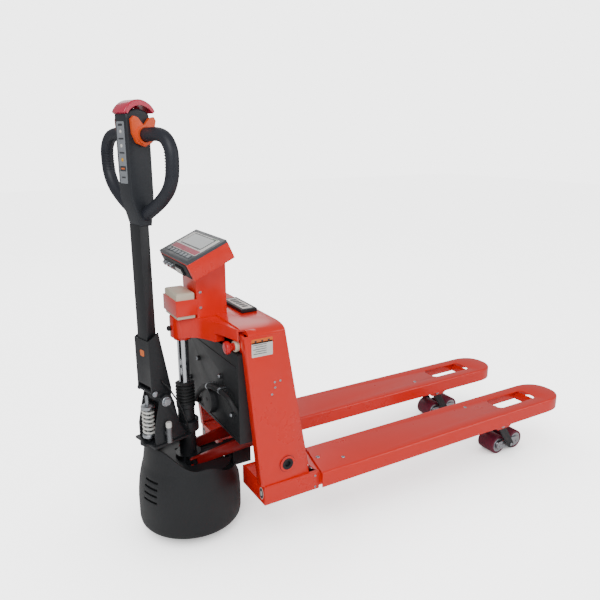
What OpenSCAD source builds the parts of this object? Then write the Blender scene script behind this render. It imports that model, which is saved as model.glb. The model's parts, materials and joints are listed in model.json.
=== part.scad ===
// Electric pallet truck with a weighing scale, standing with its forks raised.
// +X runs along the forks to their tips, +Y is the left side, +Z is up.
// The origin is on the floor, under the middle of the truck.

/* [Forks] */
// Height of the fork tops above the floor, forks raised
fork_top = 210; // [205:1:215]
// Overall width over both forks
over_forks = 568; // [560:1:580]
// Width of one fork
fork_w = 181; // [178:1:184]
// Place of the fork tips along X
tip_x = 890; // [880:1:900]
// Length of the rounded fork tip
tip_len = 115; // [95:1:125]
// Depth of the side skirts of a weigh shell
skirt_d = 54; // [50:1:58]
// Sheet thickness of a weigh shell
shell_t = 4; // [3:0.5:5]
// Width of the roller window in a fork
window_w = 84; // [70:1:90]

/* [Lift] */
// How far the forks go down from this raised position
lift_travel = 120; // [110:1:120]
// Radius of the chromed piston rod
rod_r = 18; // [16:0.5:19]
// Radius of the lift cylinder
cylinder_r = 28; // [26:0.5:29]

/* [Load wheels] */
// Diameter of a load roller
roller_d = 78; // [74:1:78]
// Width of a load roller
roller_w = 80; // [70:1:82]
// Distance between the two rollers of a pair
roller_gap = 98; // [97:1:100]
// Place of the yoke pivot along X
yoke_x = 527; // [520:1:530]
// Place of the roller pair's centre pin along X, forks raised
pair_x = 603; // [600:1:606]

/* [Drive unit] */
// Place of the steering axis along X
steer_x = -712; // [-716:1:-708]
// Steering angle that the tiller is left at, in degrees
steer_rest = 15; // [0:1:20]
// Radius of the drive cover at its widest
cover_r = 172; // [168:1:174]
// Diameter of the drive wheel
drive_d = 210; // [200:1:210]
// Width of the drive wheel
drive_w = 70; // [60:1:72]

/* [Chassis] */
// Distance of a side panel's outer face from the middle
panel_y = 263; // [260:1:265]
// Height of the hood's top
hood_z = 742; // [736:1:748]
// Width of the scale indicator
indicator_w = 250; // [230:1:260]

/* [Tiller] */
// Distance of the tiller tube from the steering axis
tiller_r = 128; // [126:1:130]
// Height of the tiller's pivot
pivot_z = 489; // [486:1:492]
// Distance of the tiller's pivot from the steering axis
pivot_r = 105; // [103:1:107]
// Distance of a hand grip's upright from the middle
grip_y = 172; // [165:1:176]
// Radius of a hand grip
grip_r = 19; // [17:0.5:20]
// Height of the throttle's axis
throttle_z = 1291; // [1288:1:1294]

/* [Hidden] */

// Forks
fork_y = (over_forks - fork_w) / 2;
heel_in_x = -314;
heel_out_x = -352;
beam_x0 = -355;
beam_x1 = 755;
beam_half = 74;
beam_top = fork_top - 10;
beam_wall = 5;
window_x0 = 540;
window_x1 = 760;
cell_len = 130;
cell_y = 38;
cell_xs = [-235, 423];

// Load wheels and their linkage, forks raised
roller_r = roller_d / 2;
yoke_z = 150;
yoke_arm_y = 58;
yoke_arm_t = 8;
yoke_pin_r = 10;
pair_pin_r = 7;
crank_x = 21.5;
rod_z = 187;
push_rod_r = 6;
rocker_x = -476;
rocker_z = 273;
rocker_r = 15;
arm_y = 55;
arm_t = 10;
trunnion_z = 245;
trunnion_r = 7;

// Clearances
run = 0.06;
gap = 0.4;

// Chassis outline, seen from the side
panel_t = 4;
panel_pts = [[-393, 212], [-567, 212], [-615, 722], [-479, 722]];
cover_x = -623;
stop_x = -604;
stop_pos = [-199, 676];
neck_x = [-680, -580];
head_front = [-729, 922];
head_tilt = 24;
head_len = 144;
head_t = 54;
nose_z = 737;

// Tiller
spring_r = 143;
button_r = 5;
button_zs = [1300, 1262, 1224];
face_r = 165;

$fn = 64;

// ---- helpers ----

module box(lo, hi) {
    translate(lo) cube([for (i = [0:2]) hi[i] - lo[i]]);
}

// A rod between two heights or along one axis
module along_y(r, y0, y1) {
    translate([0, y0, 0]) rotate([-90, 0, 0]) cylinder(r = r, h = y1 - y0);
}

module along_x(r, x0, x1) {
    translate([x0, 0, 0]) rotate([0, 90, 0]) cylinder(r = r, h = x1 - x0);
}

// A plate drawn in the XZ plane, from y0 to y1
module side_plate(pts, y0, y1) {
    translate([0, y1, 0]) rotate([90, 0, 0]) linear_extrude(y1 - y0) polygon(pts);
}

// Points on a smooth curve through pts, two to a span
function smooth(pts) = concat(
    [for (i = [0:len(pts) - 2], t = [0, 0.5])
        let (p0 = pts[max(i - 1, 0)], p1 = pts[i], p2 = pts[i + 1],
             p3 = pts[min(i + 2, len(pts) - 1)])
        (2 * p1 + (p2 - p0) * t + (2 * p0 - 5 * p1 + 4 * p2 - p3) * t * t
            + (3 * p1 - p0 - 3 * p2 + p3) * t * t * t) / 2],
    [pts[len(pts) - 1]]);

// Direction of a line of points at point i
function line_dir(pts, i) =
    let (d = pts[min(i + 1, len(pts) - 1)] - pts[max(i - 1, 0)]) d / norm(d);

// Round tube of n sides along a line of points that never runs along X
module swept_tube(pts, r, n) {
    m = len(pts);
    rings = [for (i = [0:m - 1])
        let (u = line_dir(pts, i), v = cross(u, [1, 0, 0]) / norm(cross(u, [1, 0, 0])),
             w = cross(u, v))
        for (k = [0:n - 1]) pts[i] + r * (v * cos(360 * k / n) + w * sin(360 * k / n))];
    faces = concat(
        [[for (k = [0:n - 1]) k]],
        [for (i = [0:m - 2], k = [0:n - 1])
            [i * n + k, (i + 1) * n + k, (i + 1) * n + (k + 1) % n, i * n + (k + 1) % n]],
        [[for (k = [n - 1:-1:0]) (m - 1) * n + k]]);
    polyhedron(rings, faces);
}

// Everything below turns with the steering; local x = 0 is the steering axis
module steered() {
    translate([steer_x, 0, 0]) rotate([0, 0, steer_rest]) children();
}

// Moves a shape from the middle of the truck to one fork
module at_fork(side) {
    translate([0, side * fork_y, 0]) children();
}

// ---- forks ----

// Plan of a fork, made smaller all round by d
function fork_outline(side, d) = concat(
    [[heel_in_x - (d > 0 ? 60 : 0), -side * (fork_w / 2 - d)],
     [heel_out_x - (d > 0 ? 60 : 0), side * (fork_w / 2 - d)]],
    [for (a = [90:-7.5:-90])
        [tip_x - tip_len + (tip_len - d) * pow(abs(cos(a)), 0.83),
         side * (fork_w / 2 - d) * sign(sin(a)) * pow(abs(sin(a)), 0.83)]]);

module rounded_window(x0, x1, w, r) {
    for (x = [x0 + r, x1 - r], y = [-w / 2 + r, w / 2 - r])
        translate([x, y]) circle(r);
    translate([x0 + r, -w / 2]) square([x1 - x0 - 2 * r, w]);
    translate([x0, -w / 2 + r]) square([x1 - x0, w - 2 * r]);
}

// Loose top of a fork, which rests on the load cells
module weigh_shell(side) {
    color("orangered") at_fork(side) difference() {
        translate([0, 0, fork_top - skirt_d])
            linear_extrude(skirt_d) polygon(fork_outline(side, 0));
        translate([0, 0, fork_top - skirt_d - 1])
            linear_extrude(skirt_d + 1 - shell_t) polygon(fork_outline(side, shell_t));
        translate([0, 0, fork_top - 20]) linear_extrude(40)
            rounded_window(window_x0, window_x1, window_w, 22);
        for (i = [0, 1]) translate([cell_xs[i], (i == 0 ? 1 : -1) * side * cell_y, fork_top - 10])
            cylinder(r = 7 + gap, h = 20);
    }
}

// Pressed channel inside a fork, open below, with cheeks for the yoke's pivot
module fork_beam(side) {
    cheek = [[beam_x0, 158], [beam_x0, beam_top], [beam_x1, beam_top], [beam_x1, 160],
             [yoke_x + 75, 160], [yoke_x + 40, 136], [yoke_x - 25, 134], [yoke_x - 60, 158]];
    color("orangered") at_fork(side) difference() {
        union() {
            for (s = [-1, 1])
                side_plate(cheek, s > 0 ? beam_half - beam_wall : -beam_half,
                           s > 0 ? beam_half : beam_wall - beam_half);
            box([beam_x0, -beam_half, beam_top - 4], [470, beam_half, beam_top]);
            box([beam_x1 - 5, -beam_half, 165], [beam_x1, beam_half, beam_top]);
        }
        translate([yoke_x, 0, yoke_z]) along_y(yoke_pin_r, -100, 100);
        for (i = [0, 1])
            translate([cell_xs[i], (i == 0 ? 1 : -1) * side * cell_y, 0])
                box([-cell_len / 2 + 3, -18, 170], [cell_len / 2 - 3, 18, beam_top + 1]);
    }
}

// Bar-shaped load cells between the beams and the weigh shells
module load_cells() {
    color("silver") for (side = [-1, 1], i = [0, 1]) at_fork(side)
        translate([cell_xs[i], (i == 0 ? 1 : -1) * side * cell_y, 0]) {
            box([-cell_len / 2 + 4, -16, 174], [cell_len / 2 - 4, 16, fork_top - shell_t]);
            box([-cell_len / 2 - 12, -16, beam_top], [-cell_len / 2 + 4, 16, fork_top - shell_t]);
            box([cell_len / 2 - 4, -16, beam_top], [cell_len / 2 + 12, 16, fork_top - shell_t]);
        }
}

module yoke_pivot_pins() {
    color("silver") for (side = [-1, 1]) at_fork(side)
        translate([yoke_x, 0, yoke_z]) along_y(yoke_pin_r, -beam_half - 5, beam_half + 5);
}

// ---- load wheels ----

module arm_shape(r0, r1) {
    hull() {
        translate([yoke_x, yoke_z]) circle(r0, $fn = 32);
        translate([pair_x, roller_r]) circle(r1, $fn = 32);
    }
}

// Swinging frame that carries a roller pair and is turned by the push rod
module yoke(side) {
    color("dimgray") at_fork(side) difference() {
        union() {
            for (s = [-1, 1])
                translate([0, s * yoke_arm_y + yoke_arm_t / 2, 0])
                    rotate([90, 0, 0]) linear_extrude(yoke_arm_t) arm_shape(17, 15);
            translate([yoke_x, 0, yoke_z])
                along_y(16, -yoke_arm_y - yoke_arm_t / 2, yoke_arm_y + yoke_arm_t / 2);
            translate([0, 17, 0]) rotate([90, 0, 0]) linear_extrude(8) hull() {
                translate([yoke_x, yoke_z]) circle(14, $fn = 32);
                translate([yoke_x + crank_x, rod_z]) circle(8, $fn = 32);
            }
            translate([yoke_x + crank_x, 0, rod_z]) along_y(4, -7, 12);
        }
        translate([yoke_x, 0, yoke_z]) along_y(yoke_pin_r + run, -100, 100);
        translate([pair_x, 0, roller_r]) along_y(pair_pin_r + run, -100, 100);
    }
}

module pair_pin(side) {
    color("whitesmoke") at_fork(side) translate([pair_x, 0, roller_r])
        along_y(pair_pin_r, -yoke_arm_y - 8, yoke_arm_y + 8);
}

// Two side plates with the rollers' axles, rocking on the pair pin
module roller_carrier(side) {
    plate_y = roller_w / 2 + 2;
    color("black") at_fork(side) difference() {
        union() {
            for (s = [-1, 1])
                translate([0, s > 0 ? plate_y + 6 : -plate_y, 0]) rotate([90, 0, 0])
                    linear_extrude(6) {
                        for (x = [-roller_gap / 2, roller_gap / 2])
                            translate([pair_x + x, roller_r]) circle(17);
                        translate([pair_x - roller_gap / 2, roller_r - 17])
                            square([roller_gap, 34]);
                    }
            for (x = [-roller_gap / 2, roller_gap / 2])
                translate([pair_x + x, 0, roller_r]) along_y(7, -plate_y - 9, plate_y + 9);
        }
        translate([pair_x, 0, roller_r]) along_y(pair_pin_r + run, -100, 100);
    }
}

module load_roller(side, end) {
    color("maroon") at_fork(side)
        translate([pair_x + end * roller_gap / 2, 0, roller_r]) difference() {
            rotate([90, 0, 0]) rotate_extrude() polygon([
                [7 + run, -roller_w / 2], [roller_r - 6, -roller_w / 2],
                [roller_r, -roller_w / 2 + 6], [roller_r, roller_w / 2 - 6],
                [roller_r - 6, roller_w / 2], [7 + run, roller_w / 2]]);
            for (s = [-1, 1]) along_y(22, s > 0 ? roller_w / 2 - 5 : -roller_w / 2 - 1,
                                      s > 0 ? roller_w / 2 + 1 : 5 - roller_w / 2);
        }
}

// ---- lift linkage ----

// Torsion shaft with two arms to the drive unit and a crank to each push rod
module rocker() {
    color("firebrick") difference() {
        union() {
            translate([rocker_x, 0, rocker_z]) along_y(rocker_r, -panel_y + 3, panel_y - 3);
            for (s = [-1, 1]) {
                translate([0, s * arm_y + arm_t / 2, 0]) rotate([90, 0, 0])
                    linear_extrude(arm_t) hull() {
                        translate([rocker_x, rocker_z]) circle(24, $fn = 32);
                        translate([steer_x - 2, trunnion_z]) circle(15, $fn = 32);
                    }
                at_fork(s) translate([0, 17, 0]) rotate([90, 0, 0]) linear_extrude(8) hull() {
                    translate([rocker_x, rocker_z]) circle(22, $fn = 32);
                    translate([rocker_x + crank_x, rod_z]) circle(8, $fn = 32);
                }
                at_fork(s) translate([rocker_x + crank_x, 0, rod_z]) along_y(4, -7, 12);
            }
        }
        // slots that the trunnions slide along
        translate([steer_x, 0, trunnion_z]) rotate([0, -6.8, 0])
            box([-24, -100, -trunnion_r - 3], [9.5, 100, trunnion_r + 3]);
    }
}

// The eyes are upright slots, so the crank pins can rise and fall in them
module push_rod(side) {
    x0 = rocker_x + crank_x;
    x1 = yoke_x + crank_x;
    color("gray") at_fork(side) difference() {
        union() {
            translate([0, 0, rod_z]) along_x(push_rod_r, x0 + 12, x1 - 12);
            for (x = [x0, x1]) translate([x, 0, rod_z]) box([-13, -5, -12], [13, 5, 12]);
        }
        for (x = [x0, x1]) translate([x, 0, rod_z]) box([-5.2, -10, -8], [5.2, 10, 20]);
    }
}

// ---- chassis ----

// Open box that joins a fork beam to the chassis
module base_box(side) {
    color("orangered") mirror([0, side > 0 ? 0 : 1, 0]) {
        box([-560, 264, 146], [beam_x0, 268, 212]);
        box([-560, 256, 206], [beam_x0, 266, 212]);
        box([-560, 104, 146], [-555, 264, 212]);
        box([-555, 104, 146], [beam_x0, 109, 212]);
        box([-360, 109, 146], [beam_x0, 264, 158]);
    }
}

// Side plate with a return along its front edge and a boss for the rocker shaft
module side_panel(side) {
    color("orangered") mirror([0, side > 0 ? 0 : 1, 0]) difference() {
        union() {
            side_plate(panel_pts, panel_y - panel_t, panel_y);
            side_plate([panel_pts[1], panel_pts[2], panel_pts[2] + [4, 0], panel_pts[1] + [4, 0]],
                       panel_y - 34, panel_y - panel_t);
            translate([rocker_x, 0, rocker_z]) along_y(27, panel_y - 22, panel_y + 6);
        }
        translate([rocker_x, 0, rocker_z]) along_y(rocker_r + run, 200, 300);
    }
}

// Leaning plate that the load stops against
module rear_plate() {
    color("orangered") side_plate(
        [panel_pts[0] + [0, 30], panel_pts[3], panel_pts[3] - [4, 0], panel_pts[0] + [-4, 30]],
        -panel_y + panel_t, panel_y - panel_t);
}

// Plan of the top plate: round nose over the piston, flaring to the panels
nose_plan = concat(
    [for (a = [-90:15:90]) [steer_x - 38 * cos(a), -38 * sin(a)]],
    [for (t = [0.15:0.17:1]) [steer_x + 90 * t, -38 - 187 * pow(t, 2.4)]],
    [[-575, -panel_y + panel_t], [-575, panel_y - panel_t]],
    [for (t = [1:-0.17:0.15]) [steer_x + 90 * t, 38 + 187 * pow(t, 2.4)]]);

// Top plate with its deep front apron; the piston rod's end sits in it
module nose_bracket() {
    color("orangered") difference() {
        union() {
            translate([0, 0, nose_z - 66]) linear_extrude(66) intersection() {
                polygon(nose_plan);
                translate([-800, -232]) square([182, 464]);
            }
            translate([0, 0, nose_z - 6]) linear_extrude(6) polygon(nose_plan);
            translate([steer_x, 0, nose_z - 76]) cylinder(r = 28, h = 10);
            // tab with a collar, which holds the stop button
            box([stop_x, -228, 657], [stop_x + 4, -165, nose_z - 5]);
            translate([0, stop_pos[0], stop_pos[1]]) along_x(17, stop_x - 5, stop_x + 1);
        }
        translate([-650, -95, nose_z - 72]) cube([33, 190, 66]);
        for (s = [-1, 1])
            box([-660, s > 0 ? 120 : -240, nose_z - 90], [stop_x - 6, s > 0 ? 240 : -120, 700]);
        translate([0, stop_pos[0], stop_pos[1]]) along_x(12 + gap, stop_x - 20, stop_x + 20);
        translate([steer_x, 0, nose_z - 80]) cylinder(r = rod_r, h = 50);
    }
}

// Bar along X with the hood's cross-section; run_in and drop are the reach of its shoulders
module hood_arch(run_in, drop) {
    shoulder = [for (a = [0:7.5:90])
        [panel_y - 60 + run_in * cos(a), hood_z - 20 + drop * sin(a)]];
    translate([-700, 0, 0]) rotate([90, 0, 90]) linear_extrude(300) polygon(concat(
        [[60 - panel_y - run_in, 600], [panel_y - 60 + run_in, 600]], shoulder,
        [for (i = [len(shoulder) - 1:-1:0]) [-shoulder[i][0], shoulder[i][1]]]));
}

// Pressed top cover with rounded shoulders
module hood() {
    color("orangered") intersection() {
        difference() {
            box([-618, -panel_y, 722], [-479, panel_y, hood_z + 6]);
            intersection() {
                box([-575.5, -panel_y, 700], [-484, panel_y, hood_z]);
                hood_arch(55, 14);
            }
            box([-619, -panel_y - 1, 700], [-575, panel_y + 1, nose_z]);
            box([-619, -60, 730], [neck_x[1], 60, hood_z + 7]);
        }
        hood_arch(60, 20);
    }
}

// Moulded black cover over the electrics, with a round boss
module front_cover() {
    color("dimgray") {
        difference() {
            box([cover_x, -228, 362], [-576, 228, 656]);
            box([cover_x + 4, -224, 361], [-575, 224, 652]);
        }
        translate([0, 0, 430]) along_x(46, cover_x - 16, cover_x);
        for (p = [[95, 545], [-95, 545], [181, 445], [-181, 445]])
            translate([0, p[0], p[1]]) along_x(9, cover_x - 7, cover_x);
    }
}

module stop_button() {
    color("red") translate([0, stop_pos[0], stop_pos[1]]) {
        along_x(12, stop_x - 34, stop_x + 2);
        along_x(20, stop_x - 48, stop_x - 33);
    }
}

module motor_controller() {
    color("darkslategray") box([-600, -190, 470], [-520, -20, 560]);
}

module battery_pack() {
    color("navy") box([-572, -150, 580], [-490, 150, 720]);
}

module pump_unit() {
    color("gray") {
        translate([-560, 0, 455]) along_y(42, 20, 120);
        box([-605, 120, 400], [-515, 190, 510]);
    }
}

module charge_gauge() {
    color("gainsboro") box([-546, -98, hood_z], [-490, 62, hood_z + 12]);
}

// Screws and bolts of the covers, panels and shells
module panel_fasteners() {
    color("silver") {
        for (p = [[-517, 562], [-498, 563], [-516, 544], [-527, 523]])
            translate([p[0], 0, p[1]]) along_y(4, -panel_y - 3, -panel_y);
        for (side = [-1, 1], x = cell_xs) at_fork(side)
            translate([x, (x < 0 ? 1 : -1) * side * cell_y, fork_top - shell_t])
                cylinder(r = 7, h = shell_t);
        translate([0, 0, 700]) along_x(8, steer_x - 49, steer_x - 38);
        for (z = [770, 820]) translate([-668, 0, z]) along_y(5, -64, -60);
    }
}

// ---- scale indicator ----

// Tilted frame of the indicator head: local x runs up the sloping face
module at_head() {
    translate([head_front[0], 0, head_front[1]]) rotate([0, -head_tilt, 0]) children();
}

// Sheet housing with its neck
module indicator_housing() {
    w = indicator_w / 2;
    color("orangered") {
        difference() {
            union() {
                at_head() box([0, -w, -head_t], [head_len, w, 0]);
                box([neck_x[0], -60, nose_z], [neck_x[1], 60, 915]);
            }
            at_head() box([4, 4 - w, -head_t + 4], [head_len - 4, w - 4, 1]);
            box([neck_x[0] + 4, -56, nose_z - 1], [neck_x[1] - 4, 56, 890]);
        }
    }
}

// Moulded frame with the key row
module indicator_bezel() {
    w = indicator_w / 2;
    color("lightgray") at_head() difference() {
        union() {
            box([4.5, 4.5 - w, -20], [head_len - 4.5, w - 4.5, 0]);
            box([1, 1 - w, 0], [head_len - 1, w - 1, 8]);
        }
        box([52, 30 - w, -4], [head_len - 16, w - 30, 9]);
        for (i = [0:6]) translate([28, -78 + 26 * i, 7]) cylinder(r = 8, h = 2);
    }
}

module indicator_screen() {
    w = indicator_w / 2;
    color("slategray") at_head() box([52.5, 30.5 - w, -4], [head_len - 16.5, w - 30.5, 3]);
}

module scale_battery() {
    color("cornsilk") box([-744, -56, nose_z + 1], [-684, 56, 820]);
}

// U strap that holds the indicator's battery
module battery_strap() {
    color("orangered") difference() {
        box([-748, -62, 750], [-680, 62, 800]);
        box([-744, -56, 740], [-679, 56, 810]);
    }
}

// ---- lift cylinder and drive carrier ----

module piston_rod() {
    color("white") translate([steer_x, 0, 358]) cylinder(r = rod_r, h = nose_z - 30 - 358);
}

// Ring under the cylinder that the rocker lifts; it doesn't steer
module drive_carrier() {
    color("dimgray") difference() {
        union() {
            translate([steer_x, 0, 230]) cylinder(r = 42, h = 28);
            translate([steer_x, 0, trunnion_z]) along_y(trunnion_r, -66, 66);
            box([steer_x + 34, -34, 230], [-566, 34, 238]);
            box([-568, -44, 181], [-500, 44, 238]);
            for (a = [145, 215]) translate([steer_x, 0, 0]) rotate([0, 0, a])
                box([34, -12, 230], [144, 12, 235]);
        }
        translate([steer_x, 0, 200]) cylinder(r = cylinder_r + run, h = 100);
    }
}

// Bell-shaped moulded cover round the drive wheel, open above and below
module drive_cover() {
    color("darkslategray") translate([steer_x, 0, 0]) difference() {
        rotate_extrude($fn = 96) polygon([
            [cover_r - 8, 30], [cover_r - 2, 38], [cover_r, 60], [cover_r, 120],
            [cover_r - 10, 202], [cover_r - 22, 248], [cover_r - 31, 326],
            [cover_r - 36, 326], [cover_r - 27, 248], [cover_r - 15, 202],
            [cover_r - 5, 120], [cover_r - 5, 60], [cover_r - 12, 32]]);
        // the rim stands high in front, lower beside and lowest behind
        box([-70, -200, 262], [200, 200, 400]);
        box([60, -200, 216], [200, 200, 400]);
        // notch for the rocker arms and the carrier
        box([60, -66, 160], [200, 66, 400]);
        for (i = [0:3], s = [-1, 1])
            rotate([0, 0, s * 20 + 180])
                box([120, -30, 148 + i * 22], [200, 30, 155 + i * 22]);
    }
}

module lift_cylinder() {
    color("dimgray") steered() difference() {
        union() {
            translate([0, 0, 228]) cylinder(r = cylinder_r, h = 212);
            translate([0, 0, 424]) cylinder(r = 31, h = 16);
        }
        translate([0, 0, 236]) cylinder(r = rod_r + run, h = 300);
    }
}

module cylinder_boot() {
    color("black") steered() translate([0, 0, 440]) rotate_extrude() polygon(concat(
        [[rod_r + gap, 0]],
        [for (i = [0:5]) [i % 2 == 0 ? 32 : 27, 6 + i * 11]],
        [[24, 72], [rod_r + gap, 72]]));
}

// Fork-shaped bracket that holds the drive wheel under the cylinder
module drive_bracket() {
    w = drive_w / 2;
    color("gray") steered() difference() {
        union() {
            translate([0, 0, drive_d / 2 + 111]) cylinder(r = 48, h = 12);
            for (s = [-1, 1])
                box([-40, s > 0 ? w + 3 : -w - 13, 90], [40, s > 0 ? w + 13 : -w - 3, 222]);
            translate([0, 0, drive_d / 2]) along_y(12, -w - 13, w + 13);
        }
        // the cheeks are trimmed round at the top, clear of the rocker arms
        translate([0, 0, 206]) difference() {
            cylinder(r = 80, h = 40);
            translate([0, 0, -1]) cylinder(r = 48.5, h = 42);
        }
    }
}

module gearbox() {
    color("gray") steered() translate([0, 0, drive_d / 2]) along_y(70, -86, -drive_w / 2 - 13);
}

module traction_motor() {
    color("dimgray") steered() translate([0, 0, drive_d / 2]) along_y(48, -150, -86);
}

module drive_tyre() {
    w = drive_w / 2;
    color("black") steered() translate([0, 0, drive_d / 2]) rotate([90, 0, 0])
        rotate_extrude($fn = 96) polygon([
            [80, -w], [drive_d / 2 - 5, -w], [drive_d / 2, 5 - w],
            [drive_d / 2, w - 5], [drive_d / 2 - 5, w], [80, w]]);
}

module drive_hub() {
    w = drive_w / 2;
    color("silver") steered() translate([0, 0, drive_d / 2]) difference() {
        along_y(80, -w + 2, w - 2);
        along_y(12 + run, -w - 1, w + 1);
    }
}

// ---- tiller ----

// Plates clamped to the cylinder that carry the tiller's pivot and spring
module tiller_base() {
    cheek = [[-35, 352], [-60, 400], [-76, 480], [-86, 505], [-105, 513], [-122, 505],
             [-130, 480], [-149, 400], [-149, 352]];
    color("dimgray") steered() difference() {
        union() {
            translate([0, 0, 342]) cylinder(r = 40, h = 36);
            box([-160, -58, 345], [-20, 58, 353]);
            translate([-150, 0, 345]) cylinder(r = 24, h = 8);
            translate([-spring_r, 0, 352]) cylinder(r = 7, h = 12);
            for (s = [-1, 1]) side_plate(cheek, s > 0 ? 42 : -50, s > 0 ? 50 : -42);
        }
        translate([0, 0, 300]) cylinder(r = cylinder_r, h = 100);
        translate([-pivot_r, 0, pivot_z]) along_y(8, -60, 60);
    }
}

module tiller_pivot_bolt() {
    color("silver") steered() {
        translate([-pivot_r, 0, pivot_z]) {
            along_y(8, -56, 56);
            for (y = [-60, 50]) along_y(13, y, y + 10);
        }
        translate([-109, -62, 364]) cylinder(r = 9, h = 60);
        translate([-109, -56, 385]) box([-8, -6, -6], [8, 6, 6]);
    }
}

// Return spring on its guide rod
module tiller_spring() {
    color("whitesmoke") steered() translate([-spring_r, 0, 0]) {
        translate([0, 0, 366]) rotate_extrude() polygon(concat(
            [[0, 0], [20, 0], [20, 12]],
            [for (i = [0:9]) [i % 2 == 0 ? 15 : 20, 16 + i * 8.5]],
            [[19, 96], [21, 98], [21, 106], [8, 112], [0, 112]]));
        translate([0, 0, 478]) cylinder(r = 6, h = 30);
    }
}

// Rectangular tube welded into a folded bracket
module tiller_tube() {
    cheek = [[-148, 692], [-148, 532], [-138, 514], [-122, 508], [-118, 480], [-105, 469],
             [-90, 474], [-80, 490], [-77, 524], [-112, 714]];
    color("dimgray") steered() difference() {
        union() {
            box([-tiller_r - 15.5, -27, 560], [15.5 - tiller_r, 27, 1040]);
            for (s = [-1, 1]) side_plate(cheek, s > 0 ? 35 : -40, s > 0 ? 40 : -35);
            box([-148, -36, 545], [-143.5, 36, 692]);
            translate([-pivot_r, 0, pivot_z]) along_y(16, -41, 41);
            translate([-139, 0, 522]) along_y(6, -44, 44);
        }
        translate([-pivot_r, 0, pivot_z]) along_y(8 + run, -60, 60);
    }
}

// Moulded head with a round crown
module tiller_head() {
    body = concat([[-102, 1036], [-141, 1036], [-face_r, 1120], [-face_r, 1336]],
        [for (a = [145:-11:35]) [-128 + 45 * cos(a), 1325 + 36 * sin(a)]],
        [[-90, 1336], [-90, 1120]]);
    color("dimgray") steered() difference() {
        side_plate(body, -32, 32);
        translate([-tiller_r - 15.5, -27, 1030]) cube([31, 54, 10]);
        translate([-tiller_r, 0, 1338]) cylinder(r = 6 + gap, h = 40);
        for (z = button_zs) translate([0, 0, z])
            along_x(button_r + gap, -face_r - 1, 12 - face_r);
        for (s = [-1, 1]) translate([-tiller_r + 10, 0, throttle_z])
            along_y(grip_r, s > 0 ? 26 : -40, s > 0 ? 40 : -26);
    }
}

// Closed hand loops on both sides of the head
grip_pts = [[20, throttle_z], [60, throttle_z], [110, throttle_z + 2], [145, throttle_z - 8],
            [grip_y - 5, throttle_z - 34], [grip_y, 1225], [grip_y - 6, 1180], [grip_y - 28, 1143],
            [104, 1111], [58, 1085], [20, 1066]];

module grips() {
    color("darkslategray") steered() translate([10 - tiller_r, 0, 0]) difference() {
        for (s = [-1, 1])
            swept_tube(smooth([for (p = grip_pts) [0, s * p[0], p[1]]]), grip_r, 12);
        box([-50, -32, 1000], [50, 32, throttle_z - 60]);
        box([-50, -26.5, 1000], [50, 26.5, throttle_z + 60]);
    }
}

// Two winged thumb levers that turn round the grips' upper roots
module throttle() {
    wing = [[-38, 42], [-30, 50], [-18, 46], [0, 24], [18, 44], [32, 48], [38, 38],
            [32, 14], [22, -20], [0, -32], [-24, -22], [-36, 4]];
    color("orange") steered() translate([10 - tiller_r, 0, throttle_z])
        for (s = [-1, 1]) difference() {
            union() {
                side_plate(wing, s > 0 ? 34 : -46, s > 0 ? 46 : -34);
                along_y(27, s > 0 ? 34 : -54, s > 0 ? 54 : -34);
            }
            along_y(grip_r + 1, -80, 80);
        }
}

// Safety button that reverses the truck when it is pressed against a person
module belly_button() {
    band = concat(
        [for (a = [158:-12:26]) [-126 + 58 * cos(a), 1326 + 60 * sin(a)]],
        [for (a = [26:12:158]) [-126 + 47 * cos(a), 1326 + 46 * sin(a)]]);
    color("crimson") steered() {
        side_plate(band, -28, 28);
        translate([-tiller_r, 0, 1346]) cylinder(r = 6, h = 32);
    }
}

// One push button in the head's face
module face_button(z, name_color) {
    color(name_color) steered() translate([0, 0, z]) along_x(button_r, -face_r - 3, 8 - face_r);
}

// Inner cable from the tiller to the drive unit, held at both ends
cable_pts = [[-112, -44, 560], [-108, -46.5, 550], [-96, -54, 535], [-84, -56, 510],
             [-71, -56, 487], [-60, -60, 460], [-50, -62, 430], [-40, -60, 400],
             [-32, -52, 375], [-30, -44, 362], [-30, -42, 353]];
cable_r = 2.5;

module tiller_cable() {
    color("black") steered() swept_tube(cable_pts, cable_r, 8);
}

// ---- one line per node ----

base_box(1);  // base_left
base_box(-1);  // base_right
fork_beam(1);  // fork_beam_left
fork_beam(-1);  // fork_beam_right
side_panel(1);  // side_panel_left
side_panel(-1);  // side_panel_right
rear_plate();
nose_bracket();
hood();
front_cover();
weigh_shell(1);  // weigh_shell_left
weigh_shell(-1);  // weigh_shell_right
load_cells();
panel_fasteners();
indicator_housing();
indicator_bezel();
indicator_screen();
scale_battery();
battery_strap();
charge_gauge();
stop_button();
motor_controller();
battery_pack();
pump_unit();
piston_rod();
yoke_pivot_pins();
rocker();
push_rod(1);  // push_rod_left
push_rod(-1);  // push_rod_right
yoke(1);  // yoke_left
yoke(-1);  // yoke_right
pair_pin(1);  // pair_pin_left
pair_pin(-1);  // pair_pin_right
roller_carrier(1);  // roller_carrier_left
roller_carrier(-1);  // roller_carrier_right
load_roller(1, 1);  // load_roller_left_front
load_roller(1, -1);  // load_roller_left_rear
load_roller(-1, 1);  // load_roller_right_front
load_roller(-1, -1);  // load_roller_right_rear
drive_carrier();
drive_cover();
lift_cylinder();
cylinder_boot();
drive_bracket();
traction_motor();
gearbox();
drive_tyre();
drive_hub();
tiller_base();
tiller_pivot_bolt();
tiller_spring();
tiller_tube();
tiller_head();
grips();
throttle();
belly_button();
face_button(button_zs[0], "white");  // raise_button
face_button(button_zs[1], "white");  // lower_button
face_button(button_zs[2], "gold");  // horn_button
tiller_cable();
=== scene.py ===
"""Looks of an electric pallet truck with a weighing scale, built round its CAD frame.

Lengths inside the script are millimetres in the frame's own axes: +X runs to the fork tips,
+Y is the left side, +Z is up. make() turns them into metres.
"""

import json
import math

import bmesh
import bpy
from mathutils import Matrix, Vector

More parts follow.
